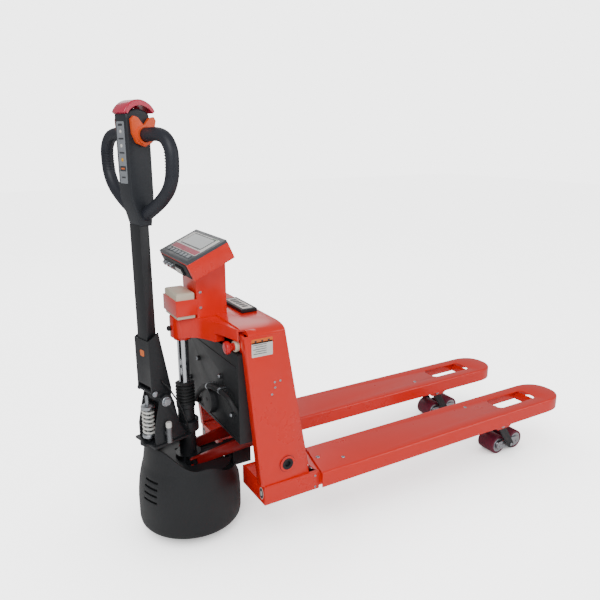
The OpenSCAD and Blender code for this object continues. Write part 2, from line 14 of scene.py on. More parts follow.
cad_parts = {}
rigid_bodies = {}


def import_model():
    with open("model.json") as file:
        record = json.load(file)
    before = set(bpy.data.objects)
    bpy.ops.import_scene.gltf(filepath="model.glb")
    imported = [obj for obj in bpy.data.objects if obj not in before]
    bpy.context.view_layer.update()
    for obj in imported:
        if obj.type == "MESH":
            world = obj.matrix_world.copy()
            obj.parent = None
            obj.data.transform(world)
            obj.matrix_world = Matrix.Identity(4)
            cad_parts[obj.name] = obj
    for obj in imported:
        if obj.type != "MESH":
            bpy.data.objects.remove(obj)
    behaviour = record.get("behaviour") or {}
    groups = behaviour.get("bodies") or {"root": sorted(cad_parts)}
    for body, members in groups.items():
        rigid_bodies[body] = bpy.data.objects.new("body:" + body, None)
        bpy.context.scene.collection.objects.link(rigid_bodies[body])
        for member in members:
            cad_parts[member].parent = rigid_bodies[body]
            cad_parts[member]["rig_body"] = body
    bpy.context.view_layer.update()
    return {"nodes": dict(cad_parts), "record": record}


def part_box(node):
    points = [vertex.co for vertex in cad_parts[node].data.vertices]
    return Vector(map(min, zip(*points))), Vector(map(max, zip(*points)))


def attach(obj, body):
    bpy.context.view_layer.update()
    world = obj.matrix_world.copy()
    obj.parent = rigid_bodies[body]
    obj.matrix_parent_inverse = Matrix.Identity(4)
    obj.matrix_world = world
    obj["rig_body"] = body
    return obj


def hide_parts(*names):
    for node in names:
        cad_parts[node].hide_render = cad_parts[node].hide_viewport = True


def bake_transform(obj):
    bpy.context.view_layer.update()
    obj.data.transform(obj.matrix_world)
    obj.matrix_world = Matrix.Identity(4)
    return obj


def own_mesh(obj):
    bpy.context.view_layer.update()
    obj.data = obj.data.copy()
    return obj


bl_info = {
    "name": "Electric pallet truck",
    "version": (1, 0, 0),
    "blender": (4, 5, 0),
    "location": "3D View > Sidebar > Pallet Truck",
    "description": "Builds the visible pieces, finishes and stage of an electric pallet truck",
    "category": "Object",
}

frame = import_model()
MM = 0.001
SLOT_OF = {part["node"]: part["material_slot"] for part in frame["record"]["subparts"]}


def box_mm(node):
    """Lowest and highest corner of a CAD node, in millimetres."""
    low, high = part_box(node)
    return low / MM, high / MM


# The steering axis stands in the middle of the piston rod, and the tiller is left turned.
rod_low, rod_high = box_mm("piston_rod")
STEER_X = (rod_low.x + rod_high.x) / 2
STEER_REST = 15
STEERED = Matrix.Translation((STEER_X, 0, 0)) @ Matrix.Rotation(math.radians(STEER_REST), 4, "Z")
STRAIGHT = Matrix.Identity(4)
HEAD = Matrix.Translation((-729, 0, 922)) @ Matrix.Rotation(math.radians(-24), 4, "Y")


# ---- sizes and colours ----


def length(name, description, default):
    """A length in millimetres as a property."""
    return bpy.props.FloatProperty(name=name, description=description, default=default, min=0)


def colour(name, description, default):
    """A colour as a property, given as sRGB hex."""
    return bpy.props.FloatVectorProperty(
        name=name, description=description, default=linear(default), size=4, min=0, max=1,
        subtype="COLOR")


def linear(hex_colour):
    """sRGB hex to the linear red, green, blue and alpha that shaders take."""
    values = [int(hex_colour[i : i + 2], 16) / 255 for i in (1, 3, 5)]
    return tuple(v / 12.92 if v <= 0.04045 else ((v + 0.055) / 1.055) ** 2.4 for v in values) + (1,)


class TruckSizes(bpy.types.PropertyGroup):
    """Sizes of the details, in millimetres."""

    fork_bend: length("Fork bend", "Outer radius of the bend along a fork's edge, mm", 9.0)
    sheet_edge: length("Sheet edge", "Rounding of the cut edges of the steel sheets, mm", 1.2)
    moulding_edge: length("Moulding edge", "Rounding of the edges of the mouldings, mm", 2.6)
    cover_wall: length("Cover wall", "Wall of the drive cover, mm", 4.5)
    spring_wire: length("Spring wire", "Diameter of the return spring's wire, mm", 7.0)
    spring_turns: length("Spring turns", "Number of turns of the return spring", 6.0)
    weld_width: length("Weld width", "Width of a weld bead, mm", 6.0)


class TruckColours(bpy.types.PropertyGroup):
    """Colours of the finishes."""

    paint: colour("Paint", "Powder coat of the truck", "#F02008")
    dark_paint: colour("Dark paint", "Powder coat of the lift rocker", "#8E1210")
    black_paint: colour("Black paint", "Satin paint of the drive unit and tiller", "#1B1D21")
    cover: colour("Covers", "Moulded covers", "#1D1F22")
    grip: colour("Grips", "Hand grips", "#23262F")
    throttle: colour("Throttle", "Thumb levers", "#F4581F")
    belly: colour("Belly button", "Safety reversing button", "#D21F48")
    tread: colour("Load rollers", "Cast polyurethane of the load rollers", "#6A1F38")


# ---- materials ----


def add_node(tree, kind, inputs=None, **settings):
    """Add a node; an input is a value, or a (node, output) pair to link from."""
    node = tree.nodes.new(kind)
    for name, value in settings.items():
        setattr(node, name, value)
    for socket, value in (inputs or {}).items():
        if isinstance(value, tuple) and isinstance(value[0], bpy.types.Node):
            tree.links.new(value[0].outputs[value[1]], node.inputs[socket])
        else:
            node.inputs[socket].default_value = value
    return node


def scaled(rgba, factor):
    """A colour made darker or lighter."""
    return tuple(min(1, c * factor) for c in rgba[:3]) + (1,)


def recipe(name, colour, rough, patch, patch_mm, grain_mm, grain, **more):
    """A finish: its material name, colour, roughness range, mottling and grain."""
    return dict(name=name, colour=colour, rough=rough, patch=patch, patch_mm=patch_mm,
                grain_mm=grain_mm, grain=grain, **more)


# What each finish gives the eye. patch is how far the colour and gloss wander, over patch_mm;
# grain_mm and grain set the size and height in mm of the surface's own texture.
FINISHES = {
    # Polyester powder coat on steel: deep gloss with a fine orange peel
    "red_paint": recipe("powder_coat_orange_red", "paint", (0.26, 0.34), 0.05, 160, 5, 0.018,
                      coat=0.35),
    # The same powder coat, older and darker, on the forged linkage
    "dark_red_paint": recipe("powder_coat_dark_red", "dark_paint", (0.32, 0.46), 0.12, 60, 4,
                           0.06, coat=0.3),
    # Satin wet paint on steel: dark, with a low broad sheen and faint dust
    "black_paint": recipe("satin_black_paint", "black_paint", (0.36, 0.52), 0.14, 45, 3, 0.06,
                        coat=0.1),
    # Vacuum-formed ABS with a fine leather grain
    "black_plastic": recipe("grained_black_abs", "cover", (0.42, 0.52), 0.08, 90, 2.6, 0.10,
                          cells=True),
    # Moulded glass-filled nylon of the tiller head
    "grey_plastic": recipe("moulded_charcoal_nylon", "#26292F", (0.40, 0.50), 0.07, 50, 2.2, 0.08,
                         cells=True),
    # Moulded battery and connector cases
    "dark_plastic": recipe("moulded_dark_case", "#17191E", (0.42, 0.55), 0.1, 50, 2.4, 0.06,
                         cells=True),
    # Soft-touch grips: slightly blue, broad soft sheen
    "grip_plastic": recipe("soft_touch_grip", "grip", (0.46, 0.56), 0.08, 40, 2.0, 0.07,
                         cells=True),
    # Gloss ABS of small knobs and keys
    "white_plastic": recipe("gloss_white_abs", "#E4E4DF", (0.24, 0.32), 0.03, 30, 4, 0.02,
                          coat=0.2),
    # Cream ABS case of the indicator's battery
    "cream_plastic": recipe("moulded_cream_abs", "#DDD3BC", (0.38, 0.48), 0.05, 40, 2.5, 0.05,
                          cells=True),
    "yellow_plastic": recipe("gloss_yellow_abs", "#E3A71C", (0.24, 0.32), 0.04, 20, 4, 0.02,
                           coat=0.2),
    # Satin acetal levers: bright, with a waxy sheen
    "orange_plastic": recipe("satin_orange_acetal", "throttle", (0.30, 0.38), 0.05, 30, 3, 0.03),
    "red_button": recipe("gloss_crimson_abs", "belly", (0.22, 0.30), 0.05, 30, 4, 0.02, coat=0.3),
    # Tinted acrylic in front of a reflective liquid crystal display
    "screen_glass": recipe("display_acrylic", "#8D9392", (0.08, 0.14), 0.06, 70, 9, 0.01, coat=0.6),
    # Bright zinc plating: cool grey metal with a faint spangle
    "zinc_steel": recipe("bright_zinc_plate", "#B9BDC2", (0.26, 0.42), 0.12, 14, 2.4, 0.03,
                       metal=1.0),
    # Hard chrome on a ground rod: mirror with faint grinding marks round it
    "chrome": recipe("hard_chrome", "#D6D9DE", (0.08, 0.16), 0.05, 30, 2, 0.01, metal=1.0,
                   stretch=(0.1, 0.1, 4)),
    # Sand-cast aluminium: dull, grainy and a little mottled
    "cast_aluminium": recipe("sand_cast_aluminium", "#8E9093", (0.45, 0.62), 0.16, 18, 2.4, 0.18,
                           metal=1.0),
    # Cast polyurethane tread: dark wine red with a dull wax-like face, turned in fine rings
    "polyurethane": recipe("cast_polyurethane", "tread", (0.38, 0.50), 0.12, 25, 2.5, 0.08,
                         stretch=(1, 4, 1)),
    # Solid rubber tyre: near black with a grey bloom
    "drive_rubber": recipe("solid_tyre_rubber", "#1B1B1C", (0.62, 0.80), 0.25, 22, 2.4, 0.16),
    # Moulded rubber bellows and cable sheath
    "rubber": recipe("moulded_rubber", "#1D1E20", (0.50, 0.64), 0.15, 20, 2.2, 0.05),
    # Printed polyester film of the labels and the keypad
    "label_white": recipe("white_label_film", "#E9E7E2", (0.34, 0.42), 0.03, 30, 6, 0.01),
    "label_orange": recipe("orange_label_film", "#F0742A", (0.34, 0.42), 0.03, 30, 6, 0.01),
    "label_dark": recipe("dark_label_film", "#33353A", (0.34, 0.42), 0.03, 30, 6, 0.01),
    "label_grey": recipe("grey_label_film", "#8C9096", (0.30, 0.40), 0.04, 40, 6, 0.01),
    "key_pink": recipe("silicone_crimson_keys", "#C23A55", (0.40, 0.50), 0.04, 20, 3, 0.02),
    # Slate grey ABS frame of the indicator
    "bezel_grey": recipe("moulded_slate_abs", "#4A4D52", (0.36, 0.46), 0.05, 40, 2.5, 0.04,
                       cells=True),
    "lamp_green": recipe("green_lamp_lens", "#2F9E52", (0.15, 0.22), 0.05, 10, 5, 0.01, coat=0.4),
    "red_cap": recipe("gloss_signal_red_abs", "#D8141A", (0.22, 0.30), 0.04, 30, 4, 0.02, coat=0.3),
}


def surface(finish):
    """The material of a finish, made the first time that it is asked for."""
    look = FINISHES[finish]
    if look["name"] in bpy.data.materials:
        return bpy.data.materials[look["name"]]
    material = bpy.data.materials.new(look["name"])
    material.use_nodes = True
    tree = material.node_tree
    shader = tree.nodes["Principled BSDF"]
    base = look["colour"]
    base = linear(base) if base[0] == "#" else tuple(getattr(bpy.context.scene.truck_colours, base))
    coords = add_node(tree, "ShaderNodeTexCoord")
    placed = add_node(tree, "ShaderNodeMapping", {"Vector": (coords, "Object"),
                                                  "Scale": look.get("stretch", (1, 1, 1))})
    patches = add_node(tree, "ShaderNodeTexNoise",
                       {"Vector": (placed, "Vector"), "Scale": 1 / (look["patch_mm"] * MM),
                        "Detail": 5.0, "Roughness": 0.6})
    tint = add_node(tree, "ShaderNodeMix",
                    {0: (patches, "Fac"), 6: scaled(base, 1 - look["patch"]),
                     7: scaled(base, 1 + look["patch"])}, data_type="RGBA")
    tree.links.new(tint.outputs[2], shader.inputs["Base Color"])
    low, high = look["rough"]
    gloss = add_node(tree, "ShaderNodeMapRange",
                     {"Value": (patches, "Fac"), "From Min": 0.3, "From Max": 0.7,
                      "To Min": low, "To Max": high})
    tree.links.new(gloss.outputs["Result"], shader.inputs["Roughness"])
    if look.get("cells"):
        grain = add_node(tree, "ShaderNodeTexVoronoi",
                         {"Vector": (placed, "Vector"), "Scale": 1 / (look["grain_mm"] * MM)},
                         feature="SMOOTH_F1")
        height = (grain, "Distance")
    else:
        grain = add_node(tree, "ShaderNodeTexNoise",
                         {"Vector": (placed, "Vector"), "Scale": 1 / (look["grain_mm"] * MM),
                          "Detail": 2.0})
        height = (grain, "Fac")
    bump = add_node(tree, "ShaderNodeBump",
                    {"Height": height, "Distance": look["grain"] * MM, "Strength": 1.0})
    tree.links.new(bump.outputs["Normal"], shader.inputs["Normal"])
    shader.inputs["Metallic"].default_value = look.get("metal", 0.0)
    shader.inputs["Coat Weight"].default_value = look.get("coat", 0.0)
    shader.inputs["Coat Roughness"].default_value = 0.12
    return material


# ---- mesh helpers ----


def make(name, shape, finish, body, *nodes, smooth=35):
    """Turn a millimetre bmesh into a finished piece that rides on a body."""
    bmesh.ops.recalc_face_normals(shape, faces=shape.faces)
    shape.transform(Matrix.Scale(MM, 4))
    mesh = bpy.data.meshes.new(name)
    shape.to_mesh(mesh)
    shape.free()
    obj = bpy.data.objects.new(name, mesh)
    bpy.context.scene.collection.objects.link(obj)
    return dress(obj, finish, body, *nodes, smooth=smooth)


def dress(obj, finish, body, *nodes, smooth=35):
    """Give a piece its finish, body, slot and the CAD nodes that it stands for."""
    obj.data.shade_smooth()
    obj.data.set_sharp_from_angle(angle=math.radians(smooth))
    obj.data.materials.clear()
    obj.data.materials.append(surface(finish))
    if body:
        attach(obj, body)
    if nodes:
        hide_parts(*nodes)
    return obj


def apply_modifiers(obj):
    """Bake an object's modifiers into its mesh."""
    bpy.context.view_layer.update()
    evaluated = obj.evaluated_get(bpy.context.evaluated_depsgraph_get())
    mesh = bpy.data.meshes.new_from_object(evaluated)
    obj.modifiers.clear()
    obj.data = mesh
    return obj


def round_edges(obj, radius, segments=3, angle=30, clamp=True):
    """Round an object's sharp edges; radius is in millimetres."""
    bevel = obj.modifiers.new("edges", "BEVEL")
    bevel.width = radius * MM
    bevel.segments = segments
    bevel.limit_method = "ANGLE"
    bevel.angle_limit = math.radians(angle)
    bevel.use_clamp_overlap = clamp
    bevel.harden_normals = False
    return apply_modifiers(obj)


def soften(node, radius, name=None, finish=None, segments=3, angle=30, bend=0, bent=None):
    """A copy of a CAD node with rounded edges, which stands for the node.

    Edges whose millimetre midpoint passes the test bent() are sheet bends of radius bend.
    """
    shape = bmesh.new()
    shape.from_mesh(frame["nodes"][node].data)
    bmesh.ops.remove_doubles(shape, verts=shape.verts, dist=1e-5)
    bmesh.ops.dissolve_limit(shape, angle_limit=math.radians(1), verts=shape.verts,
                             edges=shape.edges)
    if bent:
        edges = [e for e in shape.edges if bent((e.verts[0].co + e.verts[1].co) / 2 / MM)
                 and e.is_manifold and e.calc_face_angle() > 0.5]
        bmesh.ops.bevel(shape, geom=edges, offset=bend * MM, segments=5, profile=0.5,
                        affect="EDGES", clamp_overlap=True)
    mesh = bpy.data.meshes.new(node)
    shape.to_mesh(mesh)
    shape.free()
    obj = bpy.data.objects.new(name or node + "_finished", mesh)
    bpy.context.scene.collection.objects.link(obj)
    if radius:
        round_edges(obj, radius, segments, angle)
    body = frame["nodes"][node]["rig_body"]
    return dress(obj, finish or SLOT_OF[node], body, node)


def add_block(shape, low, high, place=STRAIGHT, radius=0.0, segments=3):
    """Add a block with rounded edges to a bmesh."""
    block = bmesh.new()
    bmesh.ops.create_cube(block, size=1)
    low, high = Vector(low), Vector(high)
    size = high - low
    block.transform(Matrix.Translation((low + high) / 2) @ Matrix.Diagonal((*size, 1)))
    if radius:
        bmesh.ops.bevel(block, geom=block.edges, offset=radius, segments=segments, profile=0.5,
                        affect="EDGES", clamp_overlap=True)
    block.transform(place)
    merge(shape, block)


def merge(shape, other):
    """Add one bmesh to another and free it."""
    mesh = bpy.data.meshes.new("scratch")
    other.to_mesh(mesh)
    other.free()
    shape.from_mesh(mesh)
    bpy.data.meshes.remove(mesh)


def along(origin, direction):
    """A placement whose Z runs along a direction."""
    turn = Vector((0, 0, 1)).rotation_difference(Vector(direction).normalized())
    return Matrix.Translation(origin) @ turn.to_matrix().to_4x4()


def add_lathe(shape, profile, place=STRAIGHT, steps=64, closed=False):
    """Turn a profile of (radius, height) points round Z; radius 0 closes it at the axis."""
    turned = bmesh.new()
    rings = []
    for radius, height in profile:
        if radius <= 0:
            rings.append([turned.verts.new((0, 0, height))])
        else:
            rings.append([turned.verts.new((radius * math.cos(math.tau * k / steps),
                                            radius * math.sin(math.tau * k / steps), height))
                          for k in range(steps)])
    pairs = list(zip(rings, rings[1:] + (rings[:1] if closed else [])))
    for first, second in pairs if closed else pairs[: len(rings) - 1]:
        for k in range(steps):
            corners = [first[k % len(first)], first[(k + 1) % len(first)],
                       second[(k + 1) % len(second)], second[k % len(second)]]
            corners = list(dict.fromkeys(corners))
            if len(corners) > 2:
                turned.faces.new(corners)
    turned.transform(place)
    merge(shape, turned)


def add_tube(shape, points, radius, sides=16, place=STRAIGHT):
    """Sweep a circle along a line of points, with closed ends."""
    points = [Vector(p) for p in points]
    swept = bmesh.new()
    rings = []
    normal = None
    for i, point in enumerate(points):
        ahead = (points[min(i + 1, len(points) - 1)] - points[max(i - 1, 0)]).normalized()
        if normal is None:
            normal = ahead.orthogonal().normalized()
        normal = (normal - ahead * normal.dot(ahead)).normalized()
        side = ahead.cross(normal)
        rings.append([swept.verts.new(point + radius * (normal * math.cos(math.tau * k / sides)
                                                        + side * math.sin(math.tau * k / sides)))
                      for k in range(sides)])
    for first, second in zip(rings, rings[1:]):
        for k in range(sides):
            swept.faces.new((first[k], first[(k + 1) % sides],
                             second[(k + 1) % sides], second[k]))
    swept.faces.new(rings[0])
    swept.faces.new(rings[-1])
    swept.transform(place)
    merge(shape, swept)


def smooth_line(points, per_span=6):
    """Points on a smooth curve through a line of points."""
    points = [Vector(p) for p in points]
    line = []
    for i in range(len(points) - 1):
        p0, p1, p2 = points[max(i - 1, 0)], points[i], points[i + 1]
        p3 = points[min(i + 2, len(points) - 1)]
        for k in range(per_span):
            t = k / per_span
            line.append((2 * p1 + (p2 - p0) * t + (2 * p0 - 5 * p1 + 4 * p2 - p3) * t * t
                         + (3 * p1 - p0 - 3 * p2 + p3) * t ** 3) / 2)
    return line + [points[-1]]


def add_plate(shape, outline, y0, y1, place=STRAIGHT):
    """A flat plate drawn in the XZ plane, from y0 to y1."""
    plate = bmesh.new()
    near = plate.faces.new([plate.verts.new((x, y0, z)) for x, z in outline])
    pushed = bmesh.ops.extrude_face_region(plate, geom=[near])
    moved = [v for v in pushed["geom"] if isinstance(v, bmesh.types.BMVert)]
    bmesh.ops.translate(plate, verts=moved, vec=(0, y1 - y0, 0))
    plate.transform(place)
    merge(shape, plate)


def carve(obj, cutter):
    """Cut a millimetre bmesh out of a piece."""
    bmesh.ops.recalc_face_normals(cutter, faces=cutter.faces)
    cutter.transform(Matrix.Scale(MM, 4))
    mesh = bpy.data.meshes.new("cutter")
    cutter.to_mesh(mesh)
    cutter.free()
    tool = bpy.data.objects.new("cutter", mesh)
    bpy.context.scene.collection.objects.link(tool)
    boolean = obj.modifiers.new("cut", "BOOLEAN")
    boolean.operation = "DIFFERENCE"
    boolean.solver = "EXACT"
    boolean.object = tool
    apply_modifiers(obj)
    bpy.data.objects.remove(tool)
    return obj


def scatter(name, unit, places, finish, body, *nodes):
    """Repeat a unit mesh at (position, direction, size) places with Geometry Nodes."""
    points = bpy.data.meshes.new(name)
    points.from_pydata([Vector(p[0]) * MM for p in places], [], [])
    for label, kind, key in (("aim", "FLOAT_VECTOR", 1), ("size", "FLOAT", 2)):
        attribute = points.attributes.new(label, kind, "POINT")
        for i, spot in enumerate(places):
            if kind == "FLOAT":
                attribute.data[i].value = spot[key]
            else:
                attribute.data[i].vector = spot[key]
    obj = bpy.data.objects.new(name, points)
    bpy.context.scene.collection.objects.link(obj)
    unit.transform(Matrix.Scale(MM, 4))
    bmesh.ops.recalc_face_normals(unit, faces=unit.faces)
    unit_mesh = bpy.data.meshes.new(name + "_unit")
    unit.to_mesh(unit_mesh)
    unit.free()
    unit_object = bpy.data.objects.new(name + "_unit", unit_mesh)
    bpy.context.scene.collection.objects.link(unit_object)

    tree = bpy.data.node_groups.new(name + "_layout", "GeometryNodeTree")
    tree.interface.new_socket("Geometry", in_out="INPUT", socket_type="NodeSocketGeometry")
    scale = tree.interface.new_socket("Scale", in_out="INPUT", socket_type="NodeSocketFloat")
    tree.interface.new_socket("Geometry", in_out="OUTPUT", socket_type="NodeSocketGeometry")
    entry = add_node(tree, "NodeGroupInput")
    unit_info = add_node(tree, "GeometryNodeObjectInfo", {"Object": unit_object})
    aim = add_node(tree, "GeometryNodeInputNamedAttribute", {"Name": "aim"},
                   data_type="FLOAT_VECTOR")
    turned = add_node(tree, "FunctionNodeAlignEulerToVector", {"Vector": (aim, "Attribute")},
                      axis="Z")
    size = add_node(tree, "GeometryNodeInputNamedAttribute", {"Name": "size"}, data_type="FLOAT")
    sized = add_node(tree, "ShaderNodeMath", {0: (size, "Attribute"), 1: (entry, "Scale")},
                     operation="MULTIPLY")
    copies = add_node(tree, "GeometryNodeInstanceOnPoints",
                      {"Points": (entry, "Geometry"), "Instance": (unit_info, "Geometry"),
                       "Rotation": (turned, "Rotation"), "Scale": (sized, "Value")})
    solid = add_node(tree, "GeometryNodeRealizeInstances", {"Geometry": (copies, "Instances")})
    coated = add_node(tree, "GeometryNodeSetMaterial",
                      {"Geometry": (solid, "Geometry"), "Material": surface(finish)})
    add_node(tree, "NodeGroupOutput", {"Geometry": (coated, "Geometry")})
    modifier = obj.modifiers.new("layout", "NODES")
    modifier.node_group = tree
    modifier[scale.identifier] = 1.0
    apply_modifiers(obj)
    bpy.data.objects.remove(unit_object)
    return dress(obj, finish, body, *nodes)


def socket_screw():
    """Unit screw: a domed head of radius 1 with a round socket."""
    head = bmesh.new()
    add_lathe(head, [(0, 0.1), (0.45, 0.1), (0.48, 0.46), (0.56, 0.5), (0.78, 0.44), (0.94, 0.28),
                     (1, 0.1), (1, -0.05), (0, -0.05)], steps=20)
    return head


def hex_bolt():
    """Unit hex head of radius 1 on a washer."""
    head = bmesh.new()
    add_lathe(head, [(0, 0.14), (1.25, 0.14), (1.3, 0.1), (1.3, -0.04), (0, -0.04)], steps=24)
    add_lathe(head, [(0, 0.78), (0.82, 0.78), (1, 0.68), (1, 0.1), (0, 0.1)], steps=6)
    return head


def weld_ripple():
    """Unit ripple of a weld bead, a ball."""
    ripple = bmesh.new()
    bmesh.ops.create_icosphere(ripple, subdivisions=1, radius=1)
    return ripple


def weld_places(start, end, width, place=STRAIGHT):
    """Places of a bead's ripples between two points."""
    start, end = place @ Vector(start), place @ Vector(end)
    count = max(2, int((end - start).length / (width * 0.42)))
    return [(start.lerp(end, k / count), (end - start).normalized(),
             width * (0.46 + 0.05 * math.sin(k * 2.3))) for k in range(count + 1)]


def at(place, spots):
    """Move (position, direction, size) places into another frame."""
    return [(place @ Vector(p), place.to_3x3() @ Vector(d), s) for p, d, s in spots]


# ---- forks ----

FORK_TIP_LEN = 115
TIP_ROUNDNESS = 0.83
WINDOW_CORNER = 22


def fork_chain(side, inset):
    """Plan of a fork from its outer heel round the tip to its inner heel, inset all round."""
    low, high = box_mm("weigh_shell_left" if side > 0 else "weigh_shell_right")
    half = (high.y - low.y) / 2
    middle = (high.y + low.y) / 2
    tip_x = high.x
    heel_out, heel_in = low.x, low.x + 38
    chain = [(heel_out, side * (half - inset))]
    for k in range(49):
        a = math.radians(90 - k * 3.75)
        c, s = max(0, math.cos(a)), math.sin(a)
        chain.append((tip_x - FORK_TIP_LEN + (FORK_TIP_LEN - inset) * c ** TIP_ROUNDNESS,
                      side * (half - inset) * math.copysign(abs(s) ** TIP_ROUNDNESS, s)))
    chain.append((heel_in, -side * (half - inset)))
    return [Vector((x, y + middle, 0)) for x, y in chain]


def window_loop(side, grow):
    """Rounded roller window of a fork, grown by a margin."""
    low, high = box_mm("weigh_shell_left" if side > 0 else "weigh_shell_right")
    middle = (high.y + low.y) / 2
    corner = WINDOW_CORNER + grow
    loop = []
    for cx, cy, start in ((738, 20, 0), (562, 20, 90), (562, -20, 180), (738, -20, 270)):
        for k in range(9):
            a = math.radians(start + k * 11.25)
            loop.append(Vector((cx + corner * math.cos(a), middle + cy + corner * math.sin(a), 0)))
    return loop


def fork_shell(side, bend, wall=4.0):
    """Bent sheet top of a fork: rounded edges, open heel and a flanged roller window."""
    node = "weigh_shell_left" if side > 0 else "weigh_shell_right"
    low, high = box_mm(node)
    shape = bmesh.new()
    outer, inner = [(0, low.z)], [(wall, low.z)]
    for k in range(7):
        a = math.radians(15 * k)
        drop = 1 - math.cos(a)
        outer.append((bend * drop, high.z - bend + bend * math.sin(a)))
        inner.append((wall + (bend - wall) * drop, high.z - bend + (bend - wall) * math.sin(a)))
    rows = [[[shape.verts.new(p + Vector((0, 0, z))) for p in fork_chain(side, inset)]
             for inset, z in profile] for profile in (outer, inner)]
    for level in range(len(outer) - 1):
        for rings in rows:
            for a in range(len(rings[0]) - 1):
                shape.faces.new((rings[level][a], rings[level][a + 1],
                                 rings[level + 1][a + 1], rings[level + 1][a]))
        for end in (0, -1):
            shape.faces.new((rows[0][level][end], rows[0][level + 1][end],
                             rows[1][level + 1][end], rows[1][level][end]))
    for a in range(len(rows[0][0]) - 1):
        shape.faces.new((rows[0][0][a], rows[0][0][a + 1], rows[1][0][a + 1], rows[1][0][a]))
    shape.faces.new((rows[0][-1][0], rows[0][-1][-1], rows[1][-1][-1], rows[1][-1][0]))
    lips = []
    for grow, z in ((1.5, high.z), (0.4, high.z - 0.5), (0, high.z - 1.5), (0, high.z - wall)):
        lips.append([shape.verts.new(p + Vector((0, 0, z))) for p in window_loop(side, grow)])
    count = len(lips[0])
    for first, second in zip(lips, lips[1:]):
        for k in range(count):
            shape.faces.new((first[k], first[(k + 1) % count],
                             second[(k + 1) % count], second[k]))
    for ring, lip in ((rows[0][-1], lips[0]), (rows[1][-1], lips[-1])):
        edges = [shape.edges.get((ring[k], ring[(k + 1) % len(ring)])) for k in range(len(ring))]
        edges += [shape.edges.get((lip[k], lip[(k + 1) % count])) for k in range(count)]
        bmesh.ops.triangle_fill(shape, use_beauty=True, edges=edges, normal=(0, 0, 1))
    return make(node + "_sheet", shape, "red_paint", "chassis", node, smooth=40)


class BuildForks(bpy.types.Operator):
    """Build the fork shells, beams, bases, load cells and their screws and welds."""

    bl_idname = "truck.build_forks"
    bl_label = "Forks"

    def execute(self, context):
        sizes = context.scene.truck_sizes
        for side, hand in ((1, "left"), (-1, "right")):
            fork_shell(side, sizes.fork_bend)
            soften("fork_beam_" + hand, 0.8)
            soften("base_" + hand, sizes.sheet_edge, bend=7,
                   bent=lambda p: abs(abs(p.y) - 268) < 1)
            low, high = box_mm("base_" + hand)
            wall_y = high.y if side > 0 else low.y
            rim, face, mark = bmesh.new(), bmesh.new(), bmesh.new()
            spot = Matrix.Translation((low.x, side * 244, 180)) @ Matrix.Diagonal((1, 0.62, 1, 1))
            for shape, radius, out in ((rim, 21, 0.5), (face, 18, 0.9), (mark, 9, 1.2)):
                add_lathe(shape, [(0, -0.3), (radius, -0.3), (radius, out), (0, out)],
                          spot @ along((0, 0, 0), (-1, 0, 0)), steps=48)
            make("base_label_rim_" + hand, rim, "label_white", "chassis")
            make("base_label_" + hand, face, "label_dark", "chassis")
            make("base_label_dot_" + hand, mark, "label_white", "chassis")
            edge_z = low.z + 12
            scatter("heel_screws_" + hand, socket_screw(),
                    [((-372, wall_y, z), (0, side, 0), 4.2) for z in (edge_z, high.z - 14)]
                    + [((-312, side * 188, 209.6), (0, 0, 1), 7.5),
                       ((-318, side * 188, 209.6), (0, 0, 1), 2.5)],
                    "zinc_steel", "chassis")
            bead = weld_places((-553, wall_y - side, high.z), (-360, wall_y - side, high.z),
                               sizes.weld_width * 0.6)
            scatter("base_weld_" + hand, weld_ripple(), bead, "red_paint", "chassis")
        soften("load_cells", 0.8)
        soften("yoke_pivot_pins", 1.0)
        return {"FINISHED"}


class BuildLoadWheels(bpy.types.Operator):
    """Build the load rollers, their carriers, yokes and push rods."""

    bl_idname = "truck.build_load_wheels"
    bl_label = "Load wheels"

    def execute(self, context):
        for hand in ("left", "right"):
            for end in ("front", "rear"):
                node = f"load_roller_{hand}_{end}"
                low, high = box_mm(node)
                middle = (low + high) / 2
                r, w = (high.z - low.z) / 2, (high.y - low.y) / 2
                place = along(middle, (0, 1, 0))
                tread = bmesh.new()
                profile = [(r - 9, -w), (r - 4, -w), (r - 1.2, -w + 1.4), (r, -w + 5)]
                profile += [(r, w - 5), (r - 1.2, w - 1.4), (r - 4, w), (r - 9, w)]
                add_lathe(tread, profile, place, closed=True)
                body = frame["nodes"][node]["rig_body"]
                make(node + "_tread", tread, "polyurethane", body, node)
                hub = bmesh.new()
                add_lathe(hub, [(7.6, -w + 1), (12, -w + 1), (13, -w + 2.5), (20, -w + 2.5),
                                (21, -w + 1), (r - 9, -w + 1), (r - 9, w - 1), (21, w - 1),
                                (20, w - 2.5), (13, w - 2.5), (12, w - 1), (7.6, w - 1)],
                          place, closed=True)
                make(node + "_bearings", hub, "zinc_steel", body)
            soften("roller_carrier_" + hand, 1.0, finish="zinc_steel")
            soften("yoke_" + hand, 1.0)
            soften("push_rod_" + hand, 0.6)
            low, high = box_mm("pair_pin_" + hand)
            middle = (low + high) / 2
            reach = (high.y - low.y) / 2
            pin = bmesh.new()
            add_lathe(pin, [(0, -reach), (5.6, -reach), (7, -reach + 1.4), (7, reach - 1.4),
                            (5.6, reach), (0, reach)], along(middle, (0, 1, 0)), steps=32)
            make("pair_pin_" + hand + "_turned", pin, "zinc_steel", "pair_pin_" + hand,
                 "pair_pin_" + hand)
        soften("rocker", 1.2)
        return {"FINISHED"}


# ---- chassis ----


